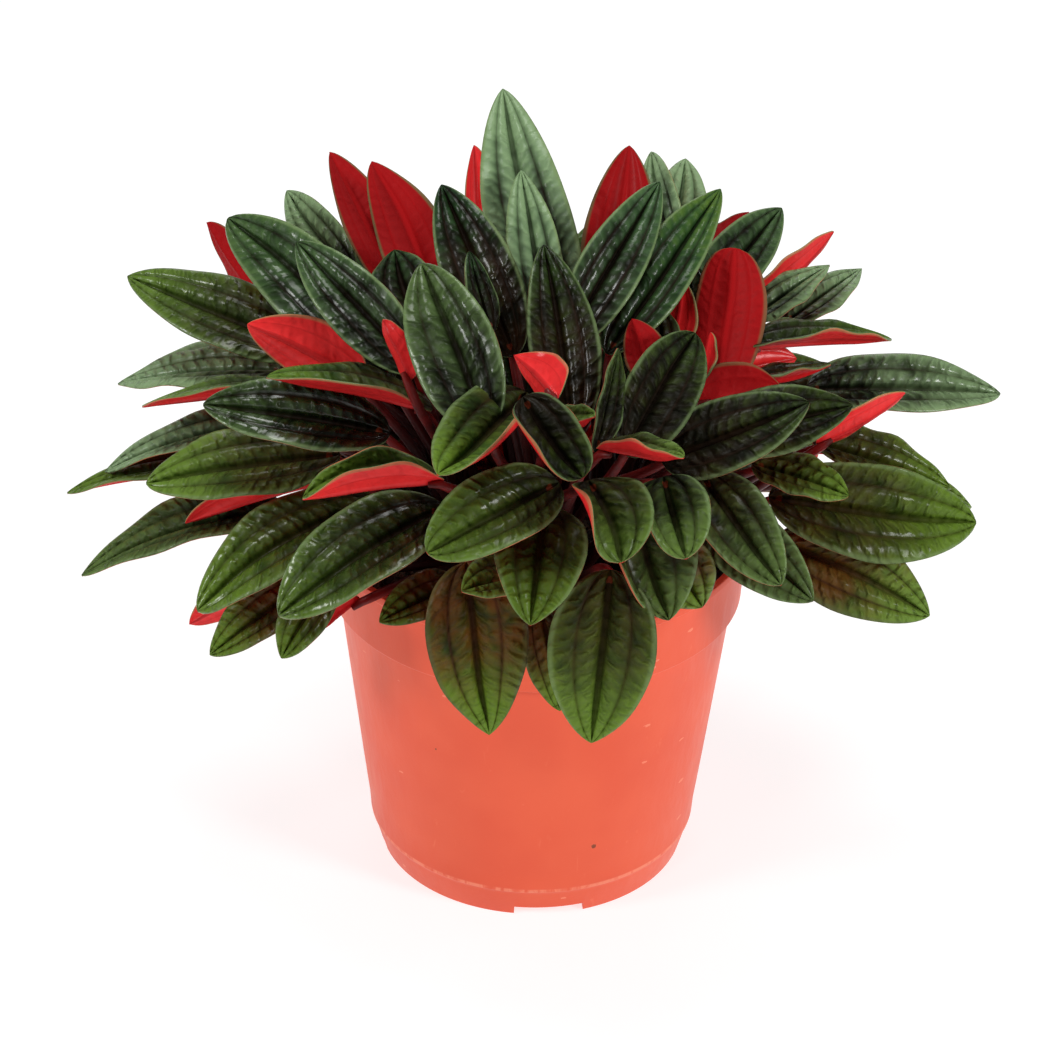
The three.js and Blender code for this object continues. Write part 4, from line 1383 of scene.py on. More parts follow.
def shader_group(name: str, inputs: dict[str, object], *outputs: str) -> tuple[Tree, list, list]:
    """A new shader group.

    Args:
        name: its name.
        inputs: its inputs' values by name.
        outputs: the names of the numbers that it puts out.

    Returns:
        The tree, the sockets that carry its inputs, and the sockets that take its outputs.
    """
    group = bpy.data.node_groups.new(name, "ShaderNodeTree")
    take(group, inputs)
    for label in outputs:
        group.interface.new_socket(label, in_out="OUTPUT", socket_type="NodeSocketFloat")
    tree = Tree(group)
    start, end = tree.add("NodeGroupInput"), tree.add("NodeGroupOutput")
    return tree, list(start.outputs)[:len(inputs)], list(end.inputs)[:len(outputs)]


CLOUD_ROUGHNESS = 0.55


@cache
def mottle_group() -> NodeTree:
    """Makes the cloudy unevenness of a surface, once.

    Returns:
        A group with a soft one for the colour and a fine one for the grain.
    """
    inputs = {"Place": (0, 0, 0), "Size": 0.01, "Grain": 0.001}
    tree, (place, *widths), ends = shader_group("mottle", inputs, "Cloud", "Speckle")
    for width, end in zip(widths, ends):
        tree.feed(end, tree.noise(place, tree.math("DIVIDE", 1.0, width), Roughness=CLOUD_ROUGHNESS))
    return tree.tree


@cache
def vein_group() -> NodeTree:
    """Finds the midrib and the two side veins of a blade from the way across it, once.

    Returns:
        A group that says where they lie.
    """
    inputs = {"Across": 0.0, "Breadth": 0.06, "Midrib Share": 1.3}
    tree, (across, breadth, share), ends = shader_group("blade_veins", inputs, "Midrib", "Side Veins")
    away = tree.math("ABSOLUTE", across)
    midrib_breadth = tree.times(breadth, share)
    for place, reach, end in zip((0.0, BLADE.side_vein), (midrib_breadth, breadth), ends):
        off = tree.math("ABSOLUTE", tree.math("SUBTRACT", away, place))
        near = tree.step((0.0, 1.0), tree.math("DIVIDE", off, reach))
        tree.feed(end, tree.math("SUBTRACT", 1.0, near))
    return tree.tree


@cache
def speck_group() -> NodeTree:
    """Scatters small specks of dirt, once. A higher rarity leaves fewer large ones.

    Returns:
        A group that says where they lie.
    """
    inputs = {
        "Place": (0, 0, 0), "Spacing": 0.01, "Size": 0.05, "Rarity": 5.0, "Bend": 0.0012, "Bends": 700.0,
    }
    tree, (place, spacing, size, rarity, bend, bends), ends = shader_group("specks", inputs, "Specks")
    wander = tree.use("ShaderNodeTexNoise", place, None, bends, out=1)
    bend = tree.join(bend, bend, bend)
    bent = tree.use("ShaderNodeVectorMath", wander, bend, place, operation="MULTIPLY_ADD")
    cells = tree.add("ShaderNodeTexVoronoi")
    tree.feed_all(cells, Vector=bent, Scale=tree.math("DIVIDE", 1.0, spacing))
    chance = tree.split(cells.outputs["Color"])[0]
    reach = tree.times(size, tree.math("POWER", chance, rarity))
    tree.feed(ends[0], tree.math("LESS_THAN", cells.outputs["Distance"], reach))
    return tree.tree


@dataclass(frozen=True)
class Finish:
    """A finish: the shader's own constant values, and what varies over the surface."""

    name: str
    roughness: float = 0.5
    coat_roughness: float = 0.2
    specular: float = 0.5

    def start(self) -> tuple[Material, Tree, bpy.types.Node]:
        """A new material with the constants set.

        Returns:
            The material, its tree and its shader.
        """
        material = bpy.data.materials.new(self.name)
        material.use_nodes = True
        shader = material.node_tree.nodes["Principled BSDF"]
        tree = Tree(material.node_tree)
        tree.feed_all(
            shader,
            Roughness=self.roughness,
            Coat_Roughness=self.coat_roughness,
            Specular_IOR_Level=self.specular,
        )
        return material, tree, shader


@dataclass
class LeafSurface:
    """What each point of a blade carries, and the patterns that lie on it. Sizes are in mm.

    The cross veins slant forward from the midrib by a share of the way across, and bend with the clouds.
    """

    tree: Tree
    cloud_size: float = 6.0
    grain_size: float = 0.9
    patch_scale: float = 0.35
    vein_breadth: float = 0.06
    vein_slant: float = -0.6
    vein_bend: float = 5.0
    pillow_power: float = 0.6
    seed_reach: float = 90.0

    def __post_init__(self) -> None:
        """Reads the blade's attributes and lays the patterns."""
        tree = self.tree
        self.along, across, self.upper = tree.split(tree.attribute("blade"))
        self.along_mm, self.across_mm, seed = tree.split(tree.attribute("sheet"))
        self.lime, self.painted_sheen, self.brown = tree.split(tree.attribute("tint"))
        self.age = tree.attribute("age", "Fac")
        self.gloss = tree.attribute("gloss", "Fac")
        self.away = tree.math("ABSOLUTE", across)
        self.spot = tree.join(self.along_mm, self.across_mm, tree.times(seed, self.seed_reach))
        self.cloud, self.speckle = tree.mottle(self.spot, self.cloud_size, self.grain_size)
        self.midrib, self.side_veins = tree.group(vein_group(), Across=across, Breadth=self.vein_breadth)
        self.grooves = tree.math("MAXIMUM", self.midrib, self.side_veins)
        turns = tree.times(self.away, math.pi / BLADE.side_vein)
        self.ridge = tree.math("ABSOLUTE", tree.math("SINE", turns))
        self.quilt = self.pillows()

    def pillows(self) -> Socket:
        """The pillows between the cross veins.

        Returns:
            Their height, from 0 to 1.
        """
        tree = self.tree
        bend = tree.noise(self.spot, 1 / self.cloud_size, Roughness=CLOUD_ROUGHNESS)
        aside = tree.math("ABSOLUTE", self.across_mm)
        veins = tree.weigh(self.along_mm, (aside, self.vein_slant), (bend, self.vein_bend))
        wave = tree.math("COSINE", tree.times(veins, FULL_TURN / BLADE.cross_spacing))
        pillow = tree.weigh(0.5, (wave, -0.5))
        return tree.times(pillow, tree.math("POWER", self.ridge, self.pillow_power))

    def patches(self, span: Span) -> Socket:
        """Patches that lie over the clouds, from 0 to 1 over a span."""
        return self.tree.step(span, self.tree.noise(self.spot, self.patch_scale, 1.0))

    def root_nearness(self, reach: float) -> Socket:
        """How near the petiole's joint is.

        Args:
            reach: the squared distance at which it no longer counts.

        Returns:
            1 at the joint, fading to 0.
        """
        tree = self.tree
        squared = tree.times(self.across_mm, self.across_mm)
        return tree.near(tree.weigh(squared, (self.along_mm, self.along_mm)), reach)


@dataclass(frozen=True)
class Lightness:
    """How light a leaf is above: a start, and what each part or trait of the blade adds at its fullest."""

    start: float = -0.57
    lime: float = 0.34
    tip: float = 0.12
    lime_tip: float = 0.45
    brown_tip: float = 0.4
    edge: float = 0.25
    # Painted highlight on the rib crests and painted shade in the grooves between them, less on aged leaves
    ridge: float = 0.24
    old_ridge: float = -0.14
    cloud: float = 0.5
    age: float = 0.1
    # Darker near the base: partly the leaf's own colour, partly painted shade where the leaf meets its
    # petiole
    body: float = 0.15
    # Painted highlight: the crowns of the pillows between the cross veins are lighter
    pillow: float = 0.12
    tip_span: Span = (0.35, 1.0)
    edge_span: Span = (0.72, 1.0)
    body_span: Span = (0.0, 0.4)

    def at(self, face: LeafSurface) -> Socket:
        """How light the upper face is at each point.

        Args:
            face: the leaf's surface.

        Returns:
            The lightness, mostly from 0 to 1.
        """
        tree = face.tree
        tip = tree.weigh(self.tip, (face.lime, self.lime_tip), (face.brown, self.brown_tip))
        ridge = tree.weigh(self.ridge, (face.age, self.old_ridge))
        return tree.weigh(
            self.start,
            (tree.step(self.tip_span, face.along), tip),
            (face.lime, self.lime),
            (tree.step(self.edge_span, face.away), self.edge),
            (face.ridge, ridge),
            (face.cloud, self.cloud),
            (face.age, self.age),
            (tree.step(self.body_span, face.along), self.body),
            (face.quilt, self.pillow),
        )


@dataclass(frozen=True)
class LeafFinish(Finish):
    """A leaf: ribbed glossy green above, satin red below, with a thin pale rim between them.

    A span says between which values of its cause something grows from nothing to its full share.
    """

    lightness: Lightness = Lightness()
    # Near black: the darkest leaves, and the painted shade in the grooves and near the base
    deep: Colour = (0.004, 0.005, 0.002)
    green: Colour = (0.0215, 0.070, 0.020)
    olive: Colour = (0.042, 0.070, 0.007)
    body_span: Span = (0.0, 0.6)
    lime: Colour = (0.13, 0.225, 0.022)
    lime_span: Span = (0.35, 1.0)
    # Painted sheen: the pale whitish-green haze of the pale leaves, where light glances off them
    painted_sheen: Colour = (0.25, 0.37, 0.19)
    painted_sheen_span: Span = (0.0, 0.7)
    brown: Colour = (0.115, 0.034, 0.005)
    brown_end: Span = (0.35, 0.95)
    brown_cloud: Span = (0.2, 0.7)
    vein: Colour = (0.03, 0.008, 0.004)
    vein_share: float = 0.2
    brown_vein_share: float = 0.5
    joint: Colour = (0.25, 0.04, 0.015)
    joint_share: float = 0.55
    joint_reach: float = 1.1
    rim: Colour = (0.2, 0.29, 0.12)
    old_rim: Colour = (0.05, 0.04, 0.015)
    rim_span: Span = (0.86, 0.95)
    rim_share: float = 0.75
    rim_loss_by_age: float = -0.3
    old_rim_share: float = 0.9
    red: Colour = (0.56, 0.006, 0.008)
    # Painted light: a brighter red on the lower faces of the lit red leaves and of the lime ones
    bright: Colour = (0.9, 0.035, 0.035)
    bright_span: Span = (0.3, 0.6)
    bright_share: Span = (0.6, 0.4)
    shade: Colour = (0.2, 0.002, 0.003)
    shade_span: Span = (0.45, 0.75)
    shade_share: float = 0.25
    midrib_shade: float = 0.5
    vein_shade: float = 0.2
    upper_span: Span = (0.4, 0.6)
    glint_span: Span = (0.3, 0.62)
    groove_dullness: float = -0.4
    satin: float = 0.25
    rough_by_grain: float = 0.25
    smooth_above: float = -0.16
    smooth_by_gloss: float = -0.3
    rough_by_groove: float = 0.2
    quilt_depth: float = 0.0011
    film_depth: float = 0.00011
    relief_share: Span = (0.2, 0.8)
    relief_by_patch: Span = (0.3, 0.7)
    relief_by_age: Span = (0.4, 0.5)
    patch_span: Span = (0.35, 0.6)
    grain_relief: float = 0.04

    def build(self) -> Material:
        """The material, which reads the blades' own attributes.

        Returns:
            The material.
        """
        material, tree, shader = self.start()
        face = LeafSurface(tree)
        both = tree.mix(tree.step(self.upper_span, face.upper), self.below(face), self.above(face))
        rim = tree.weigh(self.rim_share, (face.age, self.rim_loss_by_age))
        rim = tree.times(tree.step(self.rim_span, face.away), rim)
        rim_colour = tree.mix(tree.times(face.brown, self.old_rim_share), self.rim, self.old_rim)
        patches = face.patches(self.patch_span)
        film = tree.times(face.quilt, self.share(tree, face.upper, self.relief_share))
        film = tree.times(film, self.share(tree, patches, self.relief_by_patch))
        relief = tree.times(film, self.share(tree, face.age, self.relief_by_age))
        relief = tree.weigh(relief, (face.speckle, self.grain_relief))
        rough = tree.weigh(
            self.roughness,
            (face.speckle, self.rough_by_grain),
            (face.upper, self.smooth_above),
            (face.gloss, self.smooth_by_gloss),
            (face.grooves, self.rough_by_groove),
        )
        tree.feed_all(
            shader,
            Base_Color=tree.mix(rim, both, rim_colour),
            Roughness=rough,
            Normal=tree.bump(relief, self.quilt_depth),
            Coat_Weight=self.coat(face),
            Coat_Normal=tree.bump(film, self.film_depth),
        )
        return material

    @staticmethod
    def share(tree: Tree, cause: Socket, amounts: tuple[float, float]) -> Socket:
        """The least share, and how much a cause adds to it at its fullest."""
        return tree.weigh(amounts[0], (cause, amounts[1]))

    def above(self, face: LeafSurface) -> Socket:
        """The colour of the upper face.

        Args:
            face: the leaf's surface.

        Returns:
            The colour.
        """
        tree = face.tree
        # The lightness mixes the leaf's own tone with painted highlight on the ribs and pillows and painted
        # shade in the grooves and near the base
        light = self.lightness.at(face)
        body = tree.mix(face.age, self.green, self.olive)
        colour = tree.mix(tree.step(self.body_span, light), self.deep, body)
        limy = tree.times(tree.step(self.lime_span, light), face.lime)
        colour = tree.mix(limy, colour, self.lime)
        # Painted sheen: the pale leaves turn whitish-green where they are lighter
        painted_sheen_share = tree.times(face.painted_sheen, tree.step(self.painted_sheen_span, light))
        colour = tree.mix(painted_sheen_share, colour, self.painted_sheen)
        blush = tree.math("SUBTRACT", 1.0, tree.step(self.brown_end, face.along))
        blush = tree.times(face.brown, blush)
        blush = tree.times(blush, tree.step(self.brown_cloud, face.cloud))
        colour = tree.mix(blush, colour, self.brown)
        veined = tree.weigh(self.vein_share, (face.brown, self.brown_vein_share))
        colour = tree.mix(tree.times(face.grooves, veined), colour, self.vein)
        joint = tree.times(face.root_nearness(self.joint_reach), self.joint_share)
        return tree.mix(joint, colour, self.joint)

    def below(self, face: LeafSurface) -> Socket:
        """The colour of the lower face.

        Args:
            face: the leaf's surface.

        Returns:
            The colour.
        """
        tree = face.tree
        # Painted light: the lower faces of lit red and lime leaves turn brighter red in patches
        lit = self.share(tree, tree.step(self.bright_span, face.cloud), self.bright_share)
        colour = tree.mix(tree.times(face.lime, lit), self.red, self.bright)
        veins = tree.times(face.side_veins, self.vein_shade)
        clouds = tree.times(tree.step(self.shade_span, face.cloud), self.shade_share)
        veins = tree.weigh(veins, (face.midrib, self.midrib_shade))
        dark = tree.math("ADD", veins, clouds, clamp=True)
        # Brown darkens the red toward the shade colour: browning on aged leaves, and painted shade on the
        # shaded red leaves
        return tree.mix(tree.math("MAXIMUM", dark, face.brown), colour, self.shade)

    def coat(self, face: LeafSurface) -> Socket:
        """The weight of the glossy film: in patches above, and an even satin on bright leaves below.

        Args:
            face: the leaf's surface.

        Returns:
            The weight.
        """
        tree = face.tree
        glints = tree.times(face.gloss, tree.step(self.glint_span, face.cloud))
        film = tree.math("MAXIMUM", tree.weigh(glints, (face.grooves, self.groove_dullness)), 0.0)
        satin = tree.times(face.lime, tree.weigh(self.satin, (face.upper, -self.satin)))
        return tree.weigh(satin, (face.upper, film))


@dataclass(frozen=True)
class StalkFinish(Finish):
    """A petiole or stem: fleshy red, browner and darker toward its root."""

    fresh: Colour = (0.17, 0.007, 0.006)
    fresh_span: Span = (0.45, 1.0)
    fresh_cloud: Span = (0.2, 0.6)
    # Near black toward the root of each stalk, and over the whole stem
    rootward: Colour = (0.02, 0.003, 0.0025)
    cloud_size: float = 0.006
    grain_size: float = 0.0008
    grain_depth: float = 0.0001
    rough_by_grain: float = 0.3

    def build(self) -> Material:
        """The material, which reads how far along a stalk it is.

        Returns:
            The material.
        """
        material, tree, shader = self.start()
        cloud, speckle = tree.mottle(tree.place(), self.cloud_size, self.grain_size)
        fresh = tree.step(self.fresh_span, tree.attribute("along", "Fac"))
        fresh = tree.times(fresh, tree.step(self.fresh_cloud, cloud))
        tree.feed_all(
            shader,
            Base_Color=tree.mix(fresh, self.rootward, self.fresh),
            Roughness=tree.weigh(self.roughness, (speckle, self.rough_by_grain)),
            Normal=tree.bump(speckle, self.grain_depth),
        )
        return material


@dataclass(frozen=True)
class PeatFinish(Finish):
    """Damp peat: near black with browner crumbs and fibres."""

    wet: Colour = (0.012, 0.007, 0.005)
    dry: Colour = (0.075, 0.038, 0.02)
    dry_span: Span = (0.42, 0.7)
    dry_start: float = -0.3
    dry_by_grain: float = 0.6
    cloud_size: float = 0.004
    grain_size: float = 0.0006
    grain_depth: float = 0.0006
    smooth_by_cloud: float = -0.3

    def build(self) -> Material:
        """The material.

        Returns:
            The material.
        """
        material, tree, shader = self.start()
        cloud, speckle = tree.mottle(tree.place(), self.cloud_size, self.grain_size)
        grains = tree.weigh(self.dry_start, (speckle, self.dry_by_grain))
        dry = tree.math("ADD", tree.step(self.dry_span, cloud), grains, clamp=True)
        tree.feed_all(
            shader,
            Base_Color=tree.mix(dry, self.wet, self.dry),
            Roughness=tree.weigh(self.roughness, (cloud, self.smooth_by_cloud)),
            Normal=tree.bump(speckle, self.grain_depth),
        )
        return material


@dataclass(frozen=True)
class Specks:
    """Specks on the pot: their spacing in metres, their size as a share of it, and how strong they are."""

    colour: Colour
    spacing: float
    size: float
    share: float
    stretch: Triple = (1, 1, 1)
    shift: Triple = (0, 0, 0)

    def over(self, tree: Tree, colour: Socket) -> Socket:
        """A colour with the specks on it.

        Args:
            tree: the material's tree.
            colour: the colour under them.

        Returns:
            The colour.
        """
        place = tree.use(
            "ShaderNodeVectorMath", tree.place(), self.stretch, self.shift, operation="MULTIPLY_ADD"
        )
        specks = tree.group(speck_group(), Place=place, Spacing=self.spacing, Size=self.size)[0]
        return tree.mix(tree.times(specks, self.share), colour, self.colour)


@dataclass(frozen=True)
class PotFinish(Finish):
    """Satin moulded plastic, with faint clouds, scuffs, dust and a few crumbs of peat."""

    orange: Colour = (0.80, 0.102, 0.044)
    bright: Colour = (0.84, 0.12, 0.052)
    bright_span: Span = (0.3, 0.7)
    cloud_size: float = 0.03
    grain_size: float = 0.0012
    grain_depth: float = 0.00004
    streak_stretch: Triple = (1, 1, 0.25)
    streak_scale: float = 260.0
    streak_detail: float = 4.0
    streak_bend: float = 1.5
    scuff: Colour = (0.95, 0.32, 0.19)
    scuff_span: Span = (0.66, 0.78)
    scuff_share: float = 0.25
    dust: Specks = Specks((0.95, 0.32, 0.19), 0.0045, 0.15, 0.55, stretch=(0.4, 0.4, 1))
    dirt: Specks = Specks((0.16, 0.05, 0.02), 0.011, 0.1, 0.85, shift=(0.41, 0.23, 0.17))
    seam: Colour = (0.9, 0.24, 0.14)
    seam_span: Span = (0.3, 0.6)
    seam_height: float = 0.0104
    seam_breadth: float = 0.0009
    rough_by_streak: float = 0.25

    def build(self) -> Material:
        """The material.

        Returns:
            The material.
        """
        material, tree, shader = self.start()
        place = tree.place()
        cloud, speckle = tree.mottle(place, self.cloud_size, self.grain_size)
        colour = tree.mix(tree.step(self.bright_span, cloud), self.orange, self.bright)
        drawn = tree.use("ShaderNodeVectorMath", place, self.streak_stretch, operation="MULTIPLY")
        streaks = tree.noise(drawn, self.streak_scale, self.streak_detail, Distortion=self.streak_bend)
        scuffs = tree.times(tree.step(self.scuff_span, streaks), self.scuff_share)
        colour = self.dust.over(tree, tree.mix(scuffs, colour, self.scuff))
        height = tree.math("SUBTRACT", tree.split(place)[2], self.seam_height)
        seam = tree.near(height, self.seam_breadth)
        seam = tree.times(seam, tree.step(self.seam_span, streaks))
        tree.feed_all(
            shader,
            Base_Color=self.dirt.over(tree, tree.mix(seam, colour, self.seam)),
            Roughness=tree.weigh(self.roughness, (streaks, self.rough_by_streak)),
            Normal=tree.bump(speckle, self.grain_depth),
        )
        return material


@dataclass(frozen=True)
class FloorFinish(Finish):
    """A plain pale floor with the faintest unevenness."""

    pale: Colour = (0.42, 0.42, 0.42)
    paler: Colour = (0.44, 0.44, 0.44)
    cloud_scale: float = 3.0
    glow: float = 0.72

    def build(self) -> Material:
        """The material.

        Returns:
            The material.
        """
        material, tree, shader = self.start()
        cloud = tree.noise(tree.place(), self.cloud_scale)
        tree.feed_all(
            shader,
            Base_Color=tree.mix(cloud, self.pale, self.paler),
            Emission_Color=(1, 1, 1, 1),
            Emission_Strength=self.glow,
        )
        return material


@dataclass
class NurseryPot:
    """The pot: a tapered wall with a band under its rim, a raised floor with drains and a notched foot.

    The steps of a stretch are how far out and how far up its points lie from the line that they follow.
    """

    height: float = 105
    rim_radius: float = 60
    rim_lip: float = 0.6
    band_height: float = 20
    band_foot_radius: float = 58.6
    band_steps: tuple[Span, ...] = ((-0.3, 0.3), (0, 0.8))
    wall_top_radius: float = 56.4
    wall_steps: tuple[Span, ...] = ((-0.1, 5), (-0.05, 10), (0, 20), (0, 40), (0, 60))
    wall: float = 1.5
    seam_height: float = 10
    seam_radius: float = 47.8
    seam_steps: tuple[Span, ...] = ((-0.45, -1.2), (-0.05, -0.3), (0.15, 0), (0.2, 0.7))
    foot_radius: float = 45
    foot_thickness: float = 2.1
    foot_thickness_above: float = 3
    floor_height: float = 3
    floor_bend: float = 4
    floor_corner: float = 3
    axis_gap: float = 0.6
    edge_round: float = 0.35
    sides: int = 160
    path_radius: float = 0.01
    drain_count: int = 6
    drain_ring_radius: float = 30
    drain_radius: float = 3.5
    drain_sides: int = 20
    drill_length: float = 6
    notch_count: int = 4
    notch_width: float = 20
    notch_depth: float = 7.5
    notch_turn: float = math.radians(-83)
    smooth_below: float = math.radians(35)
    merge_distance: float = 0.02

    def wall_radius(self, height: float) -> float:
        """The radius of the outer wall at a height below the band."""
        share = (height - self.seam_height) / (self.height - self.band_height - self.seam_height)
        return self.seam_radius + (self.wall_top_radius - self.seam_radius) * share

    def profile(self) -> Array:
        """The closed cross-section of the wall, band, foot and floor.

        Returns:
            Its [radius, height] points in mm.
        """
        ledge = self.height - self.band_height
        floor_top = self.floor_height + self.wall
        bend_radius = self.wall_radius(floor_top + self.floor_bend) - self.wall
        seam = self.seam_height
        return np.array([
            (self.axis_gap, self.floor_height),
            (self.foot_radius - self.foot_thickness_above, self.floor_height),
            (self.foot_radius - self.foot_thickness, 0),
            (self.foot_radius, 0),
            *((self.seam_radius + out, seam + up) for out, up in self.seam_steps),
            *((self.wall_radius(seam + up) + out, seam + up) for out, up in self.wall_steps),
            (self.wall_top_radius, ledge),
            *((self.band_foot_radius + out, ledge + up) for out, up in self.band_steps),
            (self.rim_radius - self.rim_lip, self.height - 5 * self.rim_lip),
            (self.rim_radius, self.height - 4 * self.rim_lip),
            (self.rim_radius, self.height),
            (self.rim_radius - self.rim_lip - self.wall, self.height),
            (self.band_foot_radius - self.wall, ledge + self.wall),
            (self.wall_top_radius - self.wall, ledge - 1),
            (bend_radius, floor_top + self.floor_bend),
            (bend_radius - self.floor_corner, floor_top),
            (self.axis_gap, floor_top),
        ])

    def sizes(self) -> dict[str, object]:
        """Works out the inputs of the pot's rule.

        Returns:
            The inputs by name, in metres and radians.
        """
        lengths = {
            "Edge Round": self.edge_round, "Path Radius": self.path_radius,
            "Drain Ring": self.drain_ring_radius, "Drain Radius": self.drain_radius,
            "Drill Length": self.drill_length, "Floor": self.floor_height + self.wall / 2,
            "Notch Depth": self.notch_depth, "Notch Width": self.notch_width,
            "Notch Height": 2 * self.floor_height, "Foot Radius": self.foot_radius - self.wall,
        }
        return {name: length * MM for name, length in lengths.items()} | {
            "Sides": self.sides, "Drain Count": self.drain_count, "Drain Sides": self.drain_sides,
            "Notch Count": self.notch_count, "Notch Turn": self.notch_turn, "Material": None,
        }

    @staticmethod
    def ring_of(tree: Tree, shape: Socket, count: Socket, reach: Socket, turn: Number = 0.0) -> Socket:
        """Copies of a shape spaced evenly round the axis.

        Args:
            tree: the rule's tree.
            shape: the shape, as it stands at the axis.
            count: how many copies there are.
            reach: how far they stand from the axis.
            turn: how far the first is turned about it.

        Returns:
            The copies.
        """
        ring = tree.feed_all(tree.use("GeometryNodeCurvePrimitiveCircle", count).node, Radius=reach)
        points = tree.use("GeometryNodeCurveToPoints", ring.outputs[0], None, mode="EVALUATED")
        step = tree.math("DIVIDE", FULL_TURN, count)
        spin = tree.times(tree.add("GeometryNodeInputIndex").outputs[0], step)
        spin = tree.join(0.0, 0.0, spin)
        placed = tree.use("GeometryNodeInstanceOnPoints", points, None, shape, None, None, spin)
        turned = tree.use("GeometryNodeTransform", placed).node
        tree.feed_all(turned, Rotation=tree.join(0.0, 0.0, turn))
        return tree.use("GeometryNodeRealizeInstances", turned.outputs[0])

    def rule(self) -> GeometryRule:
        """The rule that turns a cross-section about the axis and cuts its drains and foot notches.

        Returns:
            The rule.
        """
        rule = GeometryRule("nursery_pot", self.sizes())
        tree, given = rule.tree, rule.given
        section = tree.use("GeometryNodeMeshToCurve", given["Geometry"])
        rounded = tree.add("GeometryNodeFilletCurve", mode="POLY")
        tree.feed_all(rounded, Curve=section, Radius=given["Edge Round"], Limit_Radius=True, Count=3)
        path = tree.use("GeometryNodeCurvePrimitiveCircle", given["Sides"]).node
        tree.feed_all(path, Radius=given["Path Radius"])
        body = tree.use("GeometryNodeCurveToMesh", path.outputs[0], rounded.outputs[0], None, False)
        drill = tree.use("GeometryNodeMeshCylinder", given["Drain Sides"]).node
        tree.feed_all(drill, Radius=given["Drain Radius"], Depth=given["Drill Length"])
        raised = tree.use("GeometryNodeTransform", drill.outputs[0]).node
        tree.feed_all(raised, Translation=tree.join(0.0, 0.0, given["Floor"]))
        drains = self.ring_of(tree, raised.outputs[0], given["Drain Count"], given["Drain Ring"])
        size = tree.join(given["Notch Depth"], given["Notch Width"], given["Notch Height"])
        block = tree.use("GeometryNodeMeshCube", size)
        notches = self.ring_of(tree, block, given["Notch Count"], given["Foot Radius"], given["Notch Turn"])
        cut = tree.add("GeometryNodeMeshBoolean", operation="DIFFERENCE", solver="EXACT")
        tree.feed(cut.inputs[0], body)
        for cutters in (notches, drains):
            tree.feed(cut.inputs[1], cutters)
        rule.finish(cut.outputs[0])
        return rule

    def build(self, finish: Material) -> None:
        """Makes and dresses the pot.

        Args:
            finish: its plastic.
        """
        radius, height = self.profile()[::-1].T
        count = len(radius)
        mesh = bpy.data.meshes.new("pot_section")
        points = np.stack([radius, -height, 0 * radius], -1) * MM
        mesh.from_pydata(points, [(k, (k + 1) % count) for k in range(count)], [])
        made = self.rule().run(mesh, finish)
        shape = bmesh.new()
        shape.from_mesh(made)
        bmesh.ops.remove_doubles(shape, verts=shape.verts, dist=self.merge_distance * MM)
        bmesh.ops.recalc_face_normals(shape, faces=shape.faces)
        shape.to_mesh(made)
        shape.free()
        made.polygons.foreach_set("use_smooth", np.ones(len(made.polygons), bool))
        made.set_sharp_from_angle(angle=self.smooth_below)
        put("nursery_pot", made, "pot", "pot")


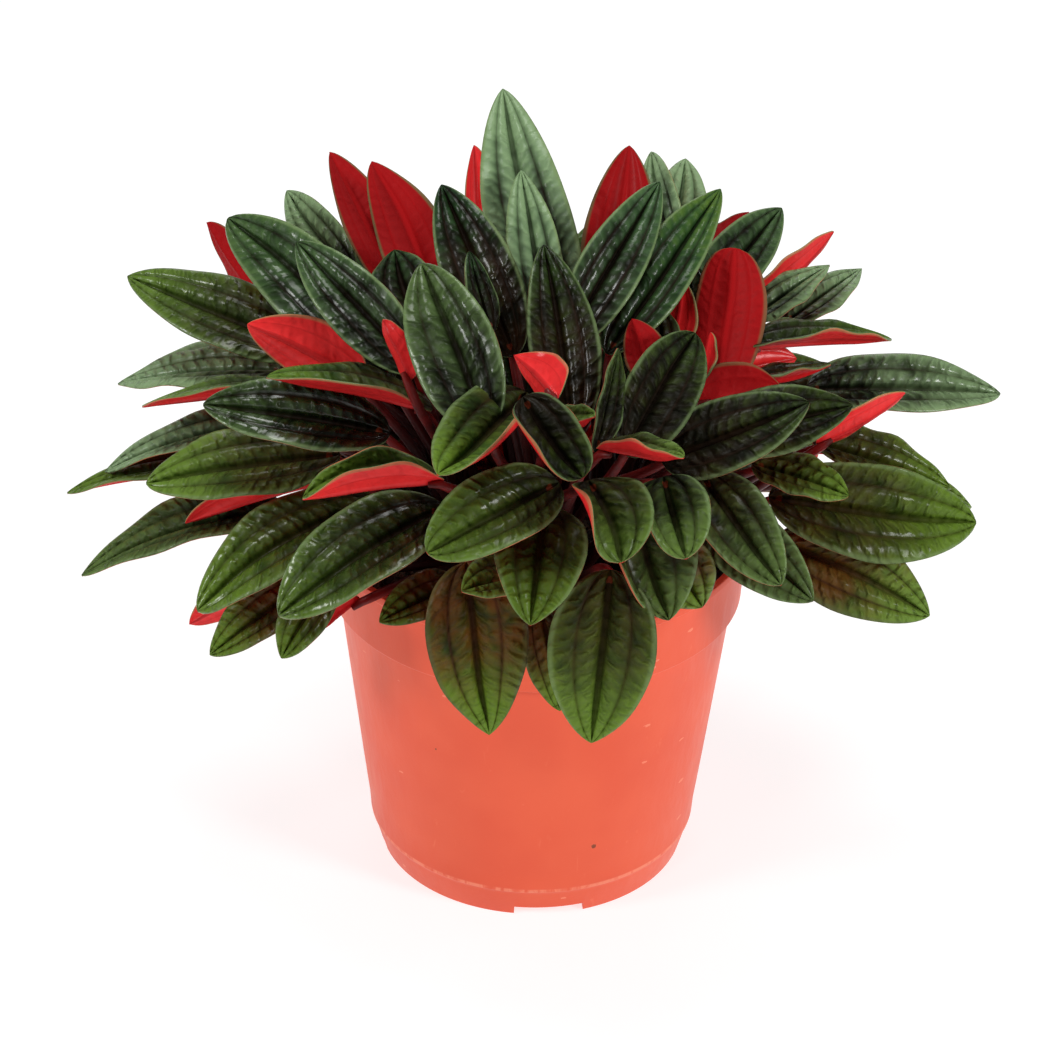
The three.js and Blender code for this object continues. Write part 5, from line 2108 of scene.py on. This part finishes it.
@dataclass
class PottingSoil:
    """The peat: a slightly domed uneven mass, with crumbs and fibres lying on it."""

    top: float = 96
    dome: float = 2
    rim_gap: float = 0.9
    wall_gap: float = 0.7
    floor_gap: float = 0.3
    toe: float = 4
    shoulder: float = 2
    bottom_end_radius: float = 0.5
    top_end_radius: float = 0.3
    sides: int = 96
    rings: int = 26
    roughness: float = 1.3
    lift: float = 4.0
    lump_scale: float = 170.0
    lump_detail: float = 5.0
    crumbs: int = 1500
    crumb_radius: float = 1.1
    crumb_sizes: Span = (0.4, 1.7)
    crumb_seed: int = 3
    fibres: int = 260
    fibre_radius: float = 0.22
    fibre_length: float = 7
    fibre_sides: int = 5
    fibre_sizes: Span = (0.5, 1.3)
    fibre_seed: int = 7
    seed: int = 11

    def mass(self, pot: NurseryPot) -> Mesh:
        """The closed mass that fills the pot.

        Args:
            pot: the pot that holds it.

        Returns:
            Its mesh.
        """
        ledge = pot.height - pot.band_height
        floor = pot.floor_height + pot.wall + self.floor_gap
        reach = pot.band_foot_radius - pot.wall - self.rim_gap
        inset = pot.wall + self.wall_gap
        edge = self.top - self.dome
        wall = [
            (self.bottom_end_radius, floor),
            (pot.wall_radius(floor) - pot.wall - self.toe, floor),
            (pot.wall_radius(floor + pot.floor_bend) - inset, floor + pot.floor_bend + 1),
            (pot.wall_radius(ledge - self.shoulder) - inset, ledge - self.shoulder),
            (reach, ledge + pot.floor_bend),
            (reach, edge - 1),
        ]
        share = 1 - np.arange(self.rings) / self.rings
        surface = zip(reach * share, edge + 2 * self.dome * (1 - share**2))
        rows = np.array([*wall, *surface, (self.top_end_radius, self.top + self.dome)])
        loose = (np.arange(len(rows)) > len(wall)).astype(float)
        return turned_body("peat_mass", rows, self.sides, loose=loose)

    def sizes(self, pot: NurseryPot) -> dict[str, object]:
        """Works out the inputs of the peat's rule.

        Args:
            pot: the pot that the peat lies in.

        Returns:
            The inputs by name, in metres, with the crumbs and fibres to the square metre.
        """
        area = math.pi * (pot.band_foot_radius * MM) ** 2
        return {
            "Roughness": self.roughness * MM, "Lift": self.lift,
            "Lumps": self.lump_scale, "Lump Detail": self.lump_detail,
            "Crumbs": self.crumbs / area, "Crumb Radius": self.crumb_radius * MM,
            "Fibres": self.fibres / area, "Fibre Radius": self.fibre_radius * MM,
            "Fibre Length": self.fibre_length * MM, "Fibre Sides": self.fibre_sides,
            "Seed": self.seed, "Material": None,
        }

    @staticmethod
    def strewn(
        rule: GeometryRule, ground: Socket, shape: Socket, density: str, seed: int, sizes: Span
    ) -> Socket:
        """Shapes strewn over the loose part of the ground, each turned and sized at random.

        Args:
            rule: the peat's rule.
            ground: the ground.
            shape: the shape.
            density: the name of the input that says how many there are.
            seed: what sets these apart from the other shapes.
            sizes: the least and the most that the shape is scaled by.

        Returns:
            The shapes.
        """
        tree, given = rule.tree, rule.given
        spots = tree.add("GeometryNodeDistributePointsOnFaces")
        loose = tree.use("GeometryNodeInputNamedAttribute", "loose")
        chance = tree.math("ADD", given["Seed"], float(seed))
        tree.feed_all(spots, Mesh=ground, Selection=loose, Density=given[density], Seed=chance)
        spin, size = (tree.add("FunctionNodeRandomValue", data_type="FLOAT_VECTOR") for _ in range(2))
        tree.feed_all(spin, Max=(FULL_TURN,) * 3, Seed=seed)
        tree.feed_all(size, Min=(sizes[0],) * 3, Max=(sizes[1],) * 3, Seed=seed + 1)
        turns = spin.outputs[0], size.outputs[0]
        return tree.use("GeometryNodeInstanceOnPoints", spots.outputs[0], None, shape, None, None, *turns)

    def rule(self, pot: NurseryPot) -> GeometryRule:
        """The rule that roughens the surface and scatters crumbs and fibres over it.

        Args:
            pot: the pot that holds the peat.

        Returns:
            The rule.
        """
        rule = GeometryRule("peat", self.sizes(pot))
        tree, given = rule.tree, rule.given
        loose = tree.use("GeometryNodeInputNamedAttribute", "loose")
        place = tree.add("GeometryNodeInputPosition").outputs[0]
        lumps = tree.math("SUBTRACT", tree.noise(place, given["Lumps"], given["Lump Detail"]), 0.5)
        rise = tree.times(lumps, given["Roughness"])
        rise = tree.times(rise, tree.times(loose, given["Lift"]))
        ground = tree.use("GeometryNodeSetPosition", given["Geometry"]).node
        ground = tree.feed_all(ground, Offset=tree.join(0.0, 0.0, rise)).outputs[0]
        crumb = tree.use("GeometryNodeMeshIcoSphere", given["Crumb Radius"], 1)
        fibre = tree.use("GeometryNodeMeshCylinder", given["Fibre Sides"]).node
        tree.feed_all(fibre, Radius=given["Fibre Radius"], Depth=given["Fibre Length"])
        joined = tree.add("GeometryNodeJoinGeometry")
        for piece in (
            self.strewn(rule, ground, fibre.outputs[0], "Fibres", self.fibre_seed, self.fibre_sizes),
            self.strewn(rule, ground, crumb, "Crumbs", self.crumb_seed, self.crumb_sizes),
            ground,
        ):
            tree.feed(joined.inputs[0], piece)
        rule.finish(joined.outputs[0])
        return rule

    def build(self, pot: NurseryPot, finish: Material) -> None:
        """Makes and dresses the peat."""
        put("peat", self.rule(pot).run(self.mass(pot), finish), "soil", "soil")


@dataclass(frozen=True)
class Lamp:
    """A square soft lamp: its name, where it hangs, its side in metres and its watts."""

    name: str
    place: Triple
    size: float
    power: float


@dataclass
class Studio:
    """The photograph's view, a pale floor, soft lamps and a faint sky. Lengths are in metres."""

    target: Array = field(default_factory=lambda: np.array([-3.42, 0, 103.4]) * MM)
    lens: float = 100.35
    sensor: float = 36.0
    clip_start: float = 0.01
    floor_size: float = 40.0
    sky: float = 0.13
    lamps: tuple[Lamp, ...] = (
        Lamp("lamp_left", (-1.1, -0.55, 0.8), 0.3, 6.0),
        Lamp("lamp_right", (1.1, -0.7, 0.75), 0.3, 10.2),
        Lamp("lamp_front", (-0.42, -0.84, 1.1), 0.2, 1.8),
        Lamp("lamp_top", (-0.1, 0.1, 1.3), 0.5, 6.0),
        Lamp("lamp_back", (0.0, 1.4, 0.8), 1.0, 4.0),
    )

    def camera(self) -> None:
        """Puts the camera where the photograph was taken from."""
        data = bpy.data.cameras.new("camera")
        data.lens, data.sensor_width, data.clip_start = self.lens, self.sensor, self.clip_start
        camera = show("camera", data)
        axes = np.column_stack([VIEW_RIGHT, VIEW_UP, VIEW_TOWARD])
        place = self.target + VIEW_TOWARD * VIEW_DISTANCE * MM
        camera.matrix_world = Matrix.Translation(Vector(place)) @ Matrix(axes.tolist()).to_4x4()
        bpy.context.scene.camera = camera

    def floor(self, finish: Material) -> None:
        """Lays the floor.

        Args:
            finish: its finish.
        """
        parts = MeshParts()
        s = self.floor_size / 2 / MM
        parts.add(np.array([[-s, -s, 0], [s, -s, 0], [s, s, 0], [-s, s, 0]]), np.array([[0, 1, 2, 3]]))
        mesh = parts.build("floor")
        mesh.materials.append(finish)
        floor = show("floor", mesh)

    def hang(self, lamp: Lamp) -> None:
        """Hangs a lamp that looks at the plant.

        Args:
            lamp: the lamp.
        """
        data = bpy.data.lights.new(lamp.name, "AREA")
        data.size, data.energy = lamp.size, lamp.power
        hung = show(lamp.name, data)
        hung.location = lamp.place
        hung.rotation_euler = (Vector(self.target) - Vector(lamp.place)).to_track_quat("-Z", "Y").to_euler()

    def build(self) -> None:
        """Makes the camera, the floor, the lamps and the sky."""
        self.camera()
        self.floor(FloorFinish("pale_floor", roughness=0.8, specular=0.2).build())
        for lamp in self.lamps:
            self.hang(lamp)
        world = bpy.data.worlds.new("soft_sky")
        world.use_nodes = True
        sky = world.node_tree.nodes["Background"]
        sky.inputs["Color"].default_value = (1, 1, 1, 1)
        sky.inputs["Strength"].default_value = self.sky
        scene = bpy.context.scene
        scene.world = world
        scene.view_settings.view_transform = "Standard"


def main() -> None:
    """Builds the studio, the pot, the peat and the seven crowns."""
    logging.basicConfig(level=logging.INFO, format="%(name)s: %(message)s")
    Studio().build()
    pot = NurseryPot()
    pot.build(PotFinish("pot_plastic", roughness=0.3, specular=0.25).build())
    PottingSoil().build(pot, PeatFinish("damp_peat", roughness=1.0, specular=0.3).build())
    leaf = LeafFinish("ribbed_leaf", roughness=0.58, coat_roughness=0.19, specular=0.1).build()
    stalk = StalkFinish("red_stalk", roughness=0.25, specular=0.25).build()
    rule = Crown.stalk_rule()
    rng = np.random.default_rng(BLADE_SEED)
    leaves = Layout().grow()
    for index in range(CROWN_COUNT):
        Crown(index, [k for k in leaves if k.crown == index]).build(rng, leaf, stalk, rule)


if __name__ == "__main__":
    main()
